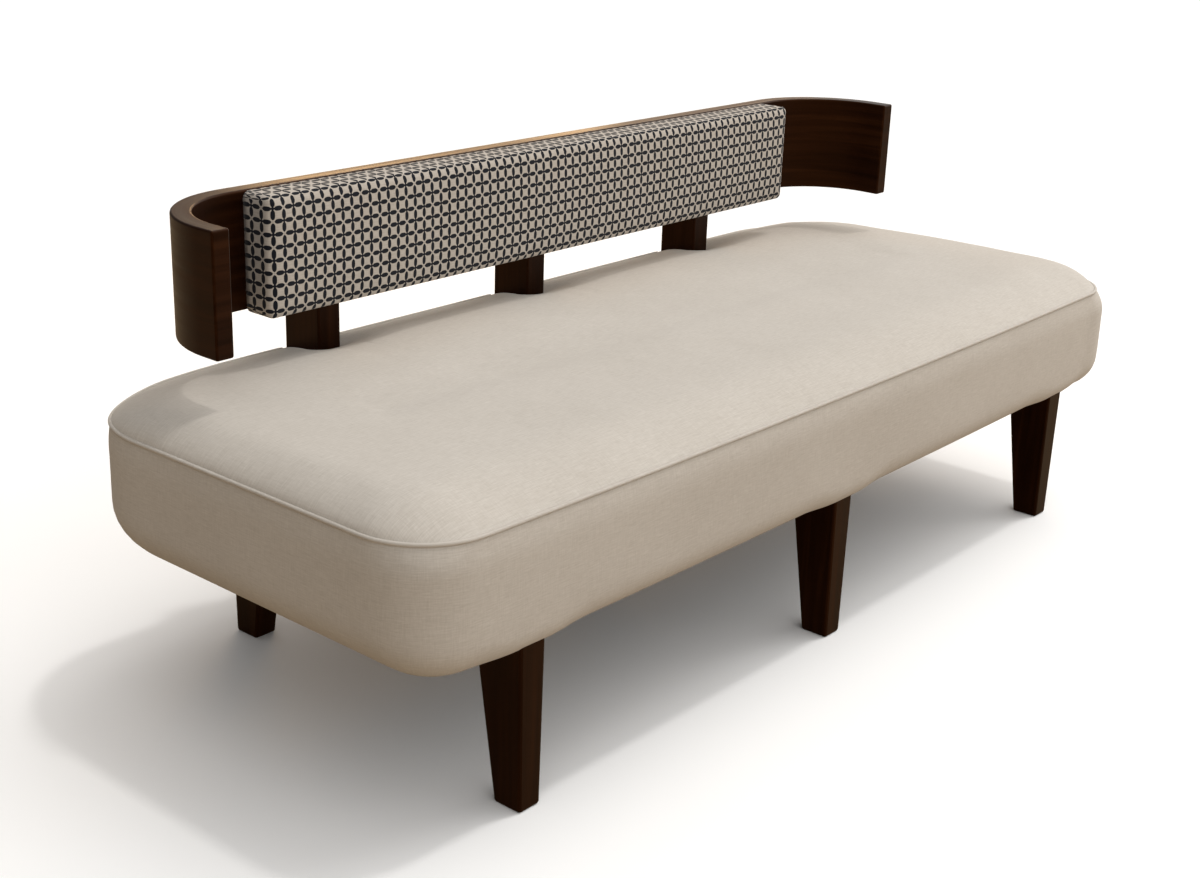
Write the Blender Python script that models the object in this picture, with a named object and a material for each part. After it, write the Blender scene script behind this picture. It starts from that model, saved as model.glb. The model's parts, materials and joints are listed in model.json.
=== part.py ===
"""Upholstered bench: a padded seat on six tapered legs, with a bent wood back band and a padded rest.

X runs along the bench, Y from front to back, Z up. The origin is on the floor under the middle.
All sizes are metres.
"""
import math

import bmesh
import bpy
from mathutils import Vector

# Fits
FIT = 0.0003
HOLE_CLEARANCE = 0.0003

# Seat outline, measured on the piping line
SEAT_HALF_LENGTH = 0.931
SEAT_HALF_DEPTH = 0.386
FRONT_BOW = 0.009
FRONT_CORNER_RADIUS = 0.110
REAR_CORNER_RADIUS = 0.205

# Seat heights and section
SEAT_BOTTOM = 0.2347
PIPING_HEIGHT = 0.425
CROWN = 0.042
CROWN_RUN = 0.200
CROWN_POWER = 4.2
CROWN_POWER_REAR = 2.4
FRONT_BULGE = 0.007
END_BULGE = 0.004
REAR_BULGE = 0.007
FRONT_CORNER_BULGE = 0.009
BULGE_DROP = 0.040
LOWER_ROUND_FRONT = 0.050
LOWER_ROUND_END = 0.080
LOWER_ROUND_REAR = 0.060
COVER_THICKNESS = 0.002
COVER_TURN_UNDER = 0.008
DUST_COVER_GAP = 0.0008
PIPING_RADIUS = 0.0028
SEAM_GAP = 0.0007
NOTCH_EDGE_LIFT = 0.012
NOTCH_SPREAD = 0.6
CROWN_FLAT_DEPTH = 0.45
CROWN_FLAT_END = 0.5
CROWN_FLAT_KEPT = 0.135

# Seat frame
RAIL_WIDTH = 0.030
RAIL_HEIGHT = 0.060
ROUND_MARGIN = 0.003
CROSS_RAIL_FROM_POST = 0.203
STRAP_COUNT = 5
STRAP_WIDTH = 0.060
STRAP_THICKNESS = 0.0015
STRAP_END_INSET = 0.005

# Legs
FRONT_LEG_FROM_END = 0.200
REAR_LEG_FROM_END = 0.284
LEG_FROM_FRONT = 0.0105
LEG_FROM_REAR = 0.0605
LEG_FOOT_WIDTH = 0.040
LEG_FOOT_DEPTH = 0.048
LEG_TOP_WIDTH = 0.047
LEG_TOP_DEPTH = 0.083
LEG_EASE = 0.004
LEG_BOLT_RADIUS = 0.004
LEG_BOLT_IN_LEG = 0.045
LEG_BOLT_IN_RAIL = 0.040

# Back posts
POST_FROM_END = 0.448
POST_WIDTH = 0.045
POST_DEPTH = 0.082
POST_FROM_REAR = 0.0873
POST_BELOW_TOP = 0.031
POST_EASE = 0.003
POST_BOLT_RADIUS = 0.005
POST_BOLT_HEAD_RADIUS = 0.009
POST_BOLT_HEAD = 0.004
POST_BOLT_IN_POST = 0.050
POST_BOLT_SPACING = 0.030
POST_BOLT_STAGGER = 0.011

# Back band
BAND_THICKNESS = 0.030
BAND_BOTTOM = 0.540
BAND_TOP = 0.721
BAND_FROM_END = 0.083
BAND_CORNER_RADIUS = 0.175
BAND_TAIL = 0.034
BAND_REBATE = 0.0165
BAND_EASE = 0.0035
SCREW_RADIUS = 0.0025
SCREW_HEAD_RADIUS = 0.005
SCREW_HEAD = 0.003
SCREW_IN_POST = 0.035
SCREW_FROM_BOTTOM = 0.040
SCREW_FROM_TOP = 0.061

# Back pad
PAD_FROM_END = 0.283
PAD_BOTTOM = 0.537
PAD_TOP = 0.719
PAD_DEPTH = 0.0604
PAD_CROWN = 0.004
PAD_CROWN_RUN = 0.070
PAD_CROWN_HALFWAY = 0.0028
PAD_EDGE_ROUND = 0.011
PAD_CORNER_ROUND = 0.012
PAD_COVER = 0.0015
PAD_BOARD = 0.006
PAD_BOARD_INSET = 0.004

# Facet counts
CORNER_STEPS = 7
RUN_STEPS = 4
OUTER_RUN_STEPS = 2
FRONT_STEPS = 10
LOWER_STEPS = 6
TUBE_SIDES = 8
ROUND_SIDES = 12
BEND_STEPS = 12
PAD_CORNER_STEPS = 3
SHARP_ANGLE = 35
EASE_ANGLE = 60
EASE_SEGMENTS = 2
CROWN_RINGS = (0.012, 0.028, 0.050, 0.080)

# Values that follow from the sizes above
FRONT_LEG_X = SEAT_HALF_LENGTH - FRONT_LEG_FROM_END
REAR_LEG_X = SEAT_HALF_LENGTH - REAR_LEG_FROM_END
LEG_FRONT_FACE = SEAT_HALF_DEPTH - LEG_FROM_FRONT
LEG_REAR_FACE = SEAT_HALF_DEPTH - LEG_FROM_REAR
POST_X = SEAT_HALF_LENGTH - POST_FROM_END
POST_FRONT = SEAT_HALF_DEPTH - POST_FROM_REAR
CROSS_RAIL_X = POST_X - CROSS_RAIL_FROM_POST
BAND_HALF_LENGTH = SEAT_HALF_LENGTH - BAND_FROM_END
BAND_REAR = POST_FRONT + BAND_REBATE
POST_TOP = BAND_TOP - POST_BELOW_TOP
SCREW_HEIGHTS = (BAND_BOTTOM + SCREW_FROM_BOTTOM, BAND_TOP - SCREW_FROM_TOP)
PAD_HALF_LENGTH = SEAT_HALF_LENGTH - PAD_FROM_END
FRONT_CENTRE_X = SEAT_HALF_LENGTH - FRONT_CORNER_RADIUS
FRONT_CENTRE_Y = SEAT_HALF_DEPTH - FRONT_BOW - FRONT_CORNER_RADIUS
REAR_CENTRE_X = SEAT_HALF_LENGTH - REAR_CORNER_RADIUS
REAR_CENTRE_Y = SEAT_HALF_DEPTH - REAR_CORNER_RADIUS
NOTCH_HALF = POST_WIDTH / 2 + FIT
NOTCH_FRONT = POST_FRONT - FIT
FRAME_END = SEAT_HALF_LENGTH + END_BULGE - LOWER_ROUND_END - ROUND_MARGIN
FRAME_FRONT = SEAT_HALF_DEPTH + FRONT_BULGE - FRONT_BOW - LOWER_ROUND_FRONT - ROUND_MARGIN
FRAME_REAR = POST_FRONT - FIT
FRAME_BOTTOM = SEAT_BOTTOM + COVER_THICKNESS + FIT
FRAME_TOP = FRAME_BOTTOM + RAIL_HEIGHT
STRAP_BOTTOM = FRAME_TOP + FIT
STRAP_TOP = STRAP_BOTTOM + STRAP_THICKNESS
FOAM_BOTTOM = STRAP_TOP + FIT
LEG_TOP = SEAT_BOTTOM - FIT
BAND_INNER = BAND_REAR - BAND_THICKNESS
PAD_REAR = BAND_INNER - FIT
PAD_FRONT = PAD_REAR - PAD_DEPTH

SIDES = {"left": -1, "right": 1}
PLACES = {"left": -1, "centre": 0, "right": 1}


def clear_scene():
    """Remove every object that the scene holds."""
    for item in list(bpy.data.objects):
        bpy.data.objects.remove(item, do_unlink=True)


def make_material(name, colour, roughness, metallic=0.0):
    """Return a Principled material of one colour."""
    material = bpy.data.materials.new(name)
    material.use_nodes = True
    shader = material.node_tree.nodes["Principled BSDF"]
    shader.inputs["Base Color"].default_value = (*colour, 1.0)
    shader.inputs["Roughness"].default_value = roughness
    shader.inputs["Metallic"].default_value = metallic
    return material


def add_object(name, bm, material):
    """Turn a bmesh into a named object at the origin, with its faces pointing out."""
    bmesh.ops.recalc_face_normals(bm, faces=bm.faces)
    mesh = bpy.data.meshes.new(name)
    bm.to_mesh(mesh)
    bm.free()
    mesh.shade_smooth()
    mesh.set_sharp_from_angle(angle=math.radians(SHARP_ANGLE))
    mesh.materials.append(material)
    item = bpy.data.objects.new(name, mesh)
    bpy.context.collection.objects.link(item)
    return item


def loft(name, rings, material, split_quads=True):
    """Skin equal closed rings of points and cap the first and the last ring."""
    bm = bmesh.new()
    rows = [[bm.verts.new(point) for point in ring] for ring in rings]
    count = len(rows[0])
    for low, high in zip(rows, rows[1:]):
        for i in range(count):
            j = (i + 1) % count
            bm.faces.new((low[i], low[j], high[j], high[i]))
    bm.faces.new(rows[0])
    bm.faces.new(rows[-1])
    if split_quads:
        bm.normal_update()
        bmesh.ops.triangulate(bm, faces=bm.faces, quad_method="SHORT_EDGE", ngon_method="EAR_CLIP")
    return add_object(name, bm, material)


def block(name, low, high, material):
    """Make a box between two corners."""
    bm = bmesh.new()
    bmesh.ops.create_cube(bm, size=1.0)
    for vert in bm.verts:
        vert.co = Vector(low[k] + (vert.co[k] + 0.5) * (high[k] - low[k]) for k in range(3))
    return add_object(name, bm, material)


def turned(name, start, axis, profile, material):
    """Make a round solid from (radius, distance along the axis) pairs."""
    axis = Vector(axis)
    across = axis.orthogonal().normalized()
    beside = axis.cross(across)
    rings = []
    for radius, along in profile:
        ring = []
        for i in range(ROUND_SIDES):
            angle = 2 * math.pi * i / ROUND_SIDES
            spoke = across * math.cos(angle) + beside * math.sin(angle)
            ring.append(Vector(start) + axis * along + spoke * radius)
        rings.append(ring)
    return loft(name, rings, material)


def cut(item, cutter):
    """Subtract a cutter from an object with a Boolean modifier."""
    cutter.hide_render = True
    cutter.display_type = "WIRE"
    modifier = item.modifiers.new("cut_" + cutter.name, "BOOLEAN")
    modifier.operation = "DIFFERENCE"
    modifier.object = cutter


class Station:
    """One place on the seat outline: a centre, an outward direction and a radius to the piping line."""

    def __init__(self, centre, outward, radius, wall=(True, True), lift=0.0, faces_rear=False):
        self.centre = centre
        self.outward = outward
        self.radius = radius
        self.wall = wall
        self.lift = lift
        rear = outward[1] > 0
        across = 1.0 if faces_rear else (outward[1] / math.hypot(*outward)) ** 2
        along = 1 - across
        across_round = LOWER_ROUND_REAR if rear else LOWER_ROUND_FRONT
        across_bulge = REAR_BULGE if rear else FRONT_BULGE
        across_power = CROWN_POWER_REAR if rear else CROWN_POWER
        corner_bulge = 0.0 if rear else FRONT_CORNER_BULGE
        self.lower_round = LOWER_ROUND_END * along + across_round * across
        self.bulge = END_BULGE * along + across_bulge * across + 4 * corner_bulge * along * across
        self.crown_power = CROWN_POWER * along + across_power * across

    def at(self, wall_offset, height, notch_offset=None):
        """Return the point that stands this far out from the piping line, at a height."""
        inner = wall_offset if notch_offset is None else notch_offset
        point = []
        for k in range(2):
            offset = wall_offset if self.wall[k] else inner
            point.append(self.centre[k] + self.outward[k] * (self.radius + offset))
        return Vector((*point, height))

    def on_frame(self, clearance, height):
        """Return the point beside the outer face of the seat frame."""
        front_or_rear = FRAME_REAR if self.centre[1] > 0 else FRAME_FRONT
        reach_x = FRAME_END + clearance - abs(self.centre[0])
        reach_y = front_or_rear + clearance - abs(self.centre[1])
        return Vector((self.centre[0] + self.outward[0] * reach_x,
                       self.centre[1] + self.outward[1] * reach_y, height))


def spread(start, end, steps):
    """Return evenly spaced values from start to end, both included."""
    return [start + (end - start) * i / steps for i in range(steps + 1)]


def corner_stations(side, rear, first, last):
    """Return the stations of one corner arc, between two angles in degrees."""
    centre_x = REAR_CENTRE_X if rear else FRONT_CENTRE_X
    centre_y = REAR_CENTRE_Y if rear else -FRONT_CENTRE_Y
    radius = REAR_CORNER_RADIUS if rear else FRONT_CORNER_RADIUS
    stations = []
    for degrees in spread(first, last, CORNER_STEPS):
        angle = math.radians(degrees)
        stations.append(Station((side * centre_x, centre_y), (math.cos(angle), math.sin(angle)), radius))
    return stations


def rear_run(start, end, steps):
    """Return stations along the straight rear edge."""
    return [Station((x, REAR_CENTRE_Y), (0.0, 1.0), REAR_CORNER_RADIUS) for x in spread(start, end, steps)]


def end_run(side, start, end):
    """Return stations along one straight end, without the corners' own points."""
    values = spread(start, end, RUN_STEPS)[1:-1]
    return [Station((side * REAR_CENTRE_X, y), (side, 0.0), REAR_CORNER_RADIUS) for y in values]


def front_run():
    """Return stations along the bowed front edge, without the corners' own points."""
    stations = []
    for x in spread(-FRONT_CENTRE_X, FRONT_CENTRE_X, FRONT_STEPS)[1:-1]:
        bow = FRONT_BOW * (1 - (x / FRONT_CENTRE_X) ** 2)
        stations.append(Station((x, -FRONT_CENTRE_Y), (0.0, -1.0), FRONT_CORNER_RADIUS + bow))
    return stations


def main_run():
    """Return the outline from the left post round the front to the right post."""
    near_post = POST_X + NOTCH_HALF
    stations = rear_run(-near_post, -REAR_CENTRE_X, OUTER_RUN_STEPS)[:-1]
    stations += corner_stations(-1, True, 90, 180)
    stations += end_run(-1, REAR_CENTRE_Y, -FRONT_CENTRE_Y)
    stations += corner_stations(-1, False, 180, 270)
    stations += front_run()
    stations += corner_stations(1, False, 270, 360)
    stations += end_run(1, -FRONT_CENTRE_Y, REAR_CENTRE_Y)
    stations += corner_stations(1, True, 0, 90)
    stations += rear_run(REAR_CENTRE_X, near_post, OUTER_RUN_STEPS)[1:]
    return stations


def rear_bay(side):
    """Return the rear edge between the centre post and one outer post."""
    ends = sorted((side * NOTCH_HALF, side * (POST_X - NOTCH_HALF)), reverse=True)
    return rear_run(ends[0], ends[1], RUN_STEPS)


def notch(x):
    """Return the corners of the notch round one post, from its right side to its left."""
    stations = []
    for side in (1, -1):
        edge = x + side * NOTCH_HALF
        towards = (-side * NOTCH_SPREAD, 1.0)
        rear_corner = Station((edge, SEAT_HALF_DEPTH), towards, 0.0, (False, True), faces_rear=True)
        towards = (-side * NOTCH_SPREAD / 2, NOTCH_SPREAD / 2)
        inner_corner = Station((edge, NOTCH_FRONT), towards, 0.0, (False, False), NOTCH_EDGE_LIFT,
                               faces_rear=True)
        stations += [rear_corner, inner_corner] if side == 1 else [inner_corner, rear_corner]
    return stations


def notched_outline():
    """Return the closed outline of the seat with a notch at each post."""
    stations = main_run()[1:-1]
    stations += notch(POST_X) + rear_bay(1)[1:-1]
    stations += notch(0.0) + rear_bay(-1)[1:-1]
    stations += notch(-POST_X)
    return stations


def plain_outline():
    """Return the closed outline of the seat without notches."""
    near_post = POST_X + NOTCH_HALF
    return main_run() + rear_run(near_post, -near_post, RUN_STEPS)[1:-1]


def wall_profile(station, inset):
    """Return (offset, height) pairs down the seat's side, from the seam to the underside."""
    radius = station.lower_round - inset
    bottom = SEAT_BOTTOM + inset
    seam = PIPING_HEIGHT - PIPING_RADIUS - SEAM_GAP
    points = []
    for share in (0.0, 0.5, 1.0):
        bulge = station.bulge * (1 - (1 - share) ** 2)
        points.append((bulge - inset, seam - share * BULGE_DROP))
    for angle in spread(0.0, math.pi / 2, LOWER_STEPS):
        offset = station.bulge - inset - radius + radius * math.cos(angle)
        points.append((offset, bottom + radius - radius * math.sin(angle)))
    return points


def crown_ring(stations, distance, drop):
    """Return one ring of the crowned top, at a distance in from the outline."""
    share = max(0.0, 1 - distance / CROWN_RUN)
    ring = []
    for station in stations:
        rise = CROWN * (1 - share ** station.crown_power)
        height = PIPING_HEIGHT + station.lift + (1 - station.lift / CROWN) * rise - drop
        ring.append(station.at(-distance, height))
    return ring


def crown_rings(stations, drop):
    """Return the rings of the crowned top, from its edge to the flat of the crown."""
    edge = PIPING_RADIUS + SEAM_GAP
    rings = [crown_ring(stations, distance, drop) for distance in (edge, *CROWN_RINGS)]
    top = PIPING_HEIGHT + CROWN - drop
    kept = POST_X + CROWN_FLAT_KEPT
    flat = []
    for point in rings[-1]:
        beyond = max(0.0, abs(point.x) - kept)
        x = math.copysign(abs(point.x) - (1 - CROWN_FLAT_END) * beyond, point.x)
        flat.append(Vector((x, CROWN_FLAT_DEPTH * point.y, top)))
    return rings + [flat]


def build_frame(wood):
    """Make the rails of the seat frame and the curved corner rails."""
    run_x = {"front": FRONT_CENTRE_X, "rear": REAR_CENTRE_X}
    face_y = {"front": -FRAME_FRONT, "rear": FRAME_REAR}
    rails = {}
    for row, outer in face_y.items():
        inner = outer - math.copysign(RAIL_WIDTH, outer)
        low = (-run_x[row] + FIT, min(outer, inner), FRAME_BOTTOM)
        high = (run_x[row] - FIT, max(outer, inner), FRAME_TOP)
        rails[row] = block(row + "_rail", low, high, wood)
    for name, side in SIDES.items():
        faces = sorted((side * FRAME_END, side * (FRAME_END - RAIL_WIDTH)))
        low = (faces[0], -FRONT_CENTRE_Y + FIT, FRAME_BOTTOM)
        high = (faces[1], REAR_CENTRE_Y - FIT, FRAME_TOP)
        block("end_rail_" + name, low, high, wood)
        start = 180 if side < 0 else 270
        corner_rail("corner_rail_front_" + name, corner_stations(side, False, start, start + 90), wood)
        start = 90 if side < 0 else 0
        corner_rail("corner_rail_rear_" + name, corner_stations(side, True, start, start + 90), wood)
        low = (side * CROSS_RAIL_X - RAIL_WIDTH / 2, -FRAME_FRONT + RAIL_WIDTH + FIT, FRAME_BOTTOM)
        high = (side * CROSS_RAIL_X + RAIL_WIDTH / 2, FRAME_REAR - RAIL_WIDTH - FIT, FRAME_TOP)
        block("cross_rail_" + name, low, high, wood)
    return rails


def corner_rail(name, stations, wood):
    """Make one curved corner rail, as thick as the rails that it joins."""
    rings = []
    for station in stations:
        rings.append([station.on_frame(0.0, FRAME_BOTTOM), station.on_frame(0.0, FRAME_TOP),
                      station.on_frame(-RAIL_WIDTH, FRAME_TOP), station.on_frame(-RAIL_WIDTH, FRAME_BOTTOM)])
    return loft(name, rings, wood)


def build_webbing(webbing):
    """Make the straps that run from end rail to end rail on top of the frame."""
    reach = FRAME_END - STRAP_END_INSET
    first = STRAP_WIDTH / 2 - FRONT_CENTRE_Y
    last = REAR_CENTRE_Y - STRAP_WIDTH / 2
    for i, y in enumerate(spread(first, last, STRAP_COUNT - 1)):
        low = (-reach, y - STRAP_WIDTH / 2, STRAP_BOTTOM)
        high = (reach, y + STRAP_WIDTH / 2, STRAP_TOP)
        block("webbing_%d" % (i + 1), low, high, webbing)


def build_foam(foam):
    """Make the crowned seat foam and the padding round the frame."""
    stations = notched_outline()
    inset = COVER_THICKNESS + FIT
    profiles = [wall_profile(station, inset) for station in stations]
    widest = profiles[0][2][1]
    heights = spread(FOAM_BOTTOM, widest, 2) + [profiles[0][k][1] for k in (1, 0)]
    rings = []
    for height in heights:
        rings.append([station.at(wall_at(profile, height), height, -inset)
                      for station, profile in zip(stations, profiles)])
    rings += crown_rings(stations, inset)
    loft("seat_foam", rings, foam)

    edge_padding("edge_padding_front", main_run(), foam)
    for name, side in SIDES.items():
        edge_padding("edge_padding_rear_" + name, rear_bay(side), foam)


def wall_at(profile, height):
    """Return the side's offset at a height, between two points of its profile."""
    for upper, lower in zip(profile, profile[1:]):
        if lower[1] <= height <= upper[1]:
            share = (height - lower[1]) / (upper[1] - lower[1])
            return lower[0] + share * (upper[0] - lower[0])
    return profile[-1][0]


def edge_padding(name, stations, foam):
    """Make the padding that lies between the frame and the cover's side."""
    inset = COVER_THICKNESS + FIT
    top = FOAM_BOTTOM - FIT
    rings = []
    for station in stations:
        profile = wall_profile(station, inset)
        ring = [station.at(wall_at(profile, top), top)]
        radius = station.lower_round - inset
        centre = SEAT_BOTTOM + inset + radius
        first = math.asin(max(0.0, centre - top) / radius)
        for angle in spread(first, math.pi / 2, LOWER_STEPS)[1:]:
            height = max(centre - radius * math.sin(angle), profile[-1][1])
            ring.append(station.at(wall_at(profile, height), height))
        ring.append(station.on_frame(FIT, FRAME_BOTTOM))
        ring.append(station.on_frame(FIT, top))
        rings.append(ring)
    return loft(name, rings, foam)


def boxing(name, stations, linen):
    """Make one length of the cover's side band, turned under at the bottom."""
    rings = []
    for station in stations:
        outer = wall_profile(station, 0.0)
        inner = wall_profile(station, COVER_THICKNESS)
        turned_in = station.bulge - station.lower_round - COVER_TURN_UNDER
        outer.append((turned_in, SEAT_BOTTOM))
        inner.append((turned_in, SEAT_BOTTOM + COVER_THICKNESS))
        section = outer + inner[::-1]
        rings.append([station.at(offset, height) for offset, height in section])
    return loft(name, rings, linen)


def piping(name, stations, linen):
    """Make one length of the corded seam."""
    rings = []
    for station in stations:
        ring = []
        for i in range(TUBE_SIDES):
            angle = 2 * math.pi * i / TUBE_SIDES
            height = PIPING_HEIGHT + PIPING_RADIUS * math.sin(angle)
            ring.append(station.at(PIPING_RADIUS * math.cos(angle), height))
        rings.append(ring)
    return loft(name, rings, linen)


def build_covers(linen, cambric):
    """Make the top cover, the side bands, the piping and the dust cover."""
    stations = notched_outline()
    lower = crown_rings(stations, COVER_THICKNESS)
    upper = crown_rings(stations, 0.0)
    loft("seat_top_cover", lower[::-1] + upper, linen)

    runs = {"front": main_run()}
    for name, side in SIDES.items():
        runs["rear_" + name] = rear_bay(side)
    for name, run in runs.items():
        boxing("seat_boxing_" + name, run, linen)
        piping("piping_" + name, run, linen)

    rings = []
    for height in (SEAT_BOTTOM, SEAT_BOTTOM + COVER_THICKNESS):
        ring = []
        for station in plain_outline():
            offset = station.bulge - station.lower_round - COVER_TURN_UNDER - DUST_COVER_GAP
            ring.append(station.at(offset, height))
        rings.append(ring)
    return loft("dust_cover", rings, cambric, split_quads=False)


def seat_envelope(linen):
    """Make a cutter with the shape of the seat's lower half, one clearance larger."""
    stations = plain_outline()
    profiles = [wall_profile(station, -FIT) for station in stations]
    rings = []
    for k in range(2, len(profiles[0])):
        rings.append([s.at(*profile[k]) for s, profile in zip(stations, profiles)])
    return loft("seat_envelope", rings, linen)


def leg(name, x, face, top, wood):
    """Make one tapered leg; face is the y of its upright face, which points away from the middle."""
    inward = -math.copysign(1.0, face)
    bm = bmesh.new()
    rows = []
    for height in (0.0, top):
        width = LEG_FOOT_WIDTH + (LEG_TOP_WIDTH - LEG_FOOT_WIDTH) * height / LEG_TOP
        depth = LEG_FOOT_DEPTH + (LEG_TOP_DEPTH - LEG_FOOT_DEPTH) * height / LEG_TOP
        corners = ((-0.5, 0.0), (0.5, 0.0), (0.5, 1.0), (-0.5, 1.0))
        rows.append([bm.verts.new((x + u * width, face + inward * v * depth, height)) for u, v in corners])
    for i in range(4):
        j = (i + 1) % 4
        bm.faces.new((rows[0][i], rows[0][j], rows[1][j], rows[1][i]))
    bm.faces.new(rows[0])
    bm.faces.new(rows[1])
    eased = [edge for edge in bm.edges if not all(vert in rows[1] for vert in edge.verts)]
    bmesh.ops.bevel(bm, geom=eased, offset=LEG_EASE, segments=EASE_SEGMENTS, profile=0.5, affect="EDGES")
    return add_object(name, bm, wood)


def build_legs(wood, steel, rails, dust_cover, linen):
    """Make six legs, each on a bolt that passes up into a rail of the frame."""
    envelope = seat_envelope(linen)
    rows = {"front": (FRONT_LEG_X, -LEG_FRONT_FACE, RAIL_WIDTH / 2 - FRAME_FRONT),
            "rear": (REAR_LEG_X, LEG_REAR_FACE, FRAME_REAR - RAIL_WIDTH / 2)}
    for row, (spacing, face, bolt_y) in rows.items():
        for place, step in PLACES.items():
            x = step * spacing
            top = SEAT_BOTTOM + LOWER_ROUND_FRONT if row == "front" else LEG_TOP
            item = leg("leg_%s_%s" % (row, place), x, face, top, wood)
            if row == "front":
                cut(item, envelope)
            label = "leg_bolt_%s_%s" % (row, place)
            start = (x, bolt_y, LEG_TOP - LEG_BOLT_IN_LEG)
            length = LEG_BOLT_IN_LEG + FRAME_BOTTOM - LEG_TOP + LEG_BOLT_IN_RAIL
            turned(label, start, (0, 0, 1), ((LEG_BOLT_RADIUS, 0.0), (LEG_BOLT_RADIUS, length)), steel)
            bore = LEG_BOLT_RADIUS + HOLE_CLEARANCE
            ends = ((bore, -FIT), (bore, length + FIT))
            hole = turned(label + "_hole", start, (0, 0, 1), ends, steel)
            for target in (item, rails[row], dust_cover):
                cut(target, hole)


def band_path():
    """Return (point, outward) pairs along the band's outer face, from the left tail to the right one."""
    centre_x = BAND_HALF_LENGTH - BAND_CORNER_RADIUS
    centre_y = BAND_REAR - BAND_CORNER_RADIUS
    path = [((-BAND_HALF_LENGTH, centre_y - BAND_TAIL), (-1.0, 0.0))]
    for side, first in ((-1, 180), (1, 90)):
        for degrees in spread(first, first - 90, BEND_STEPS):
            angle = math.radians(degrees)
            outward = (math.cos(angle), math.sin(angle))
            x = side * centre_x + BAND_CORNER_RADIUS * outward[0]
            path.append(((x, centre_y + BAND_CORNER_RADIUS * outward[1]), outward))
    path.append(((BAND_HALF_LENGTH, centre_y - BAND_TAIL), (1.0, 0.0)))
    return path


def build_band(wood):
    """Make the bent back band, with eased edges."""
    rings = []
    for (x, y), outward in band_path():
        inner = (x - outward[0] * BAND_THICKNESS, y - outward[1] * BAND_THICKNESS)
        rings.append([(x, y, BAND_BOTTOM), (x, y, BAND_TOP), (*inner, BAND_TOP), (*inner, BAND_BOTTOM)])
    band = loft("back_band", rings, wood, split_quads=False)
    ease_edges(band, BAND_EASE)
    return band


def rebated_post(name, x, wood):
    """Make one post, with a rebate at its top front in which the band sits."""
    rear = POST_FRONT + POST_DEPTH
    shoulder = BAND_BOTTOM - FIT
    rebate = BAND_REAR + FIT
    outline = ((POST_FRONT, FRAME_BOTTOM), (POST_FRONT, shoulder), (rebate, shoulder),
               (rebate, POST_TOP), (rear, POST_TOP), (rear, FRAME_BOTTOM))
    rings = [[(side, y, z) for y, z in outline] for side in (x - POST_WIDTH / 2, x + POST_WIDTH / 2)]
    post = loft(name, rings, wood, split_quads=False)
    ease_edges(post, POST_EASE)
    return post


def ease_edges(item, width):
    """Ease the square edges of an object with a Bevel modifier."""
    ease = item.modifiers.new("ease", "BEVEL")
    ease.width = width
    ease.segments = EASE_SEGMENTS
    ease.limit_method = "ANGLE"
    ease.angle_limit = math.radians(EASE_ANGLE)


def build_posts(wood, steel, rail, band):
    """Make the posts, the bolts that hold them to the rail and the screws that hold the band to them."""
    for place, step in PLACES.items():
        x = step * POST_X
        post = rebated_post("post_" + place, x, wood)
        middle = (FRAME_BOTTOM + FRAME_TOP) / 2
        for level, sign in (("lower", -1), ("upper", 1)):
            height = middle + sign * POST_BOLT_SPACING / 2
            start = (x + sign * POST_BOLT_STAGGER, FRAME_REAR - RAIL_WIDTH - FIT, height)
            shank = RAIL_WIDTH + 2 * FIT + POST_BOLT_IN_POST
            profile = ((POST_BOLT_HEAD_RADIUS, -POST_BOLT_HEAD), (POST_BOLT_HEAD_RADIUS, 0.0),
                       (POST_BOLT_RADIUS, 0.0), (POST_BOLT_RADIUS, shank))
            label = "post_bolt_%s_%s" % (place, level)
            fasten(label, start, profile, steel, (rail, post))
        for level, height in zip(("lower", "upper"), SCREW_HEIGHTS):
            start = (x, BAND_INNER, height)
            shank = BAND_THICKNESS + FIT + SCREW_IN_POST
            profile = ((SCREW_HEAD_RADIUS, 0.0), (SCREW_HEAD_RADIUS, SCREW_HEAD),
                       (SCREW_RADIUS, SCREW_HEAD), (SCREW_RADIUS, shank))
            label = "band_screw_%s_%s" % (place, level)
            fasten(label, start, profile, steel, (band, post))


def fasten(label, start, profile, steel, targets):
    """Make a bolt or screw along +Y and its hole in each piece that it passes through."""
    turned(label, start, (0, 1, 0), profile, steel)
    first = profile[0][1]
    last = profile[-1][1]
    ends = []
    for radius, along in profile:
        shift = -FIT if along == first else FIT if along in (last, profile[1][1]) else 0.0
        ends.append((radius + HOLE_CLEARANCE, along + shift))
    hole = turned(label + "_hole", start, (0, 1, 0), ends, steel)
    for target in targets:
        cut(target, hole)


def pad_ring(inset, y):
    """Return a rounded rectangle in the plane of the back, at an inset from the pad's outline."""
    radius = max(PAD_CORNER_ROUND - inset, PAD_COVER)
    centre_x = PAD_HALF_LENGTH - inset - radius
    middle = (PAD_TOP + PAD_BOTTOM) / 2
    centre_z = (PAD_TOP - PAD_BOTTOM) / 2 - inset - radius
    ring = []
    for quarter, (sx, sz) in enumerate(((1, 1), (-1, 1), (-1, -1), (1, -1))):
        for degrees in spread(90 * quarter, 90 * quarter + 90, PAD_CORNER_STEPS):
            angle = math.radians(degrees)
            ring.append(Vector((sx * centre_x + radius * math.cos(angle), y,
                                middle + sz * centre_z + radius * math.sin(angle))))
    return ring


def pad_rings(inset, rear):
    """Return rings over the pad's sides and crowned front, from its rear edge forward."""
    front = PAD_FRONT + PAD_CROWN + inset
    radius = PAD_EDGE_ROUND - inset
    rings = [pad_ring(inset, rear)]
    for angle in spread(0.0, math.pi / 2, PAD_CORNER_STEPS):
        rings.append(pad_ring(inset + radius * (1 - math.cos(angle)), front + radius * (1 - math.sin(angle))))
    rings.append(pad_ring(PAD_CROWN_RUN / 2, front - PAD_CROWN_HALFWAY))
    rings.append(pad_ring(PAD_CROWN_RUN, front - PAD_CROWN))
    return rings


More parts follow.
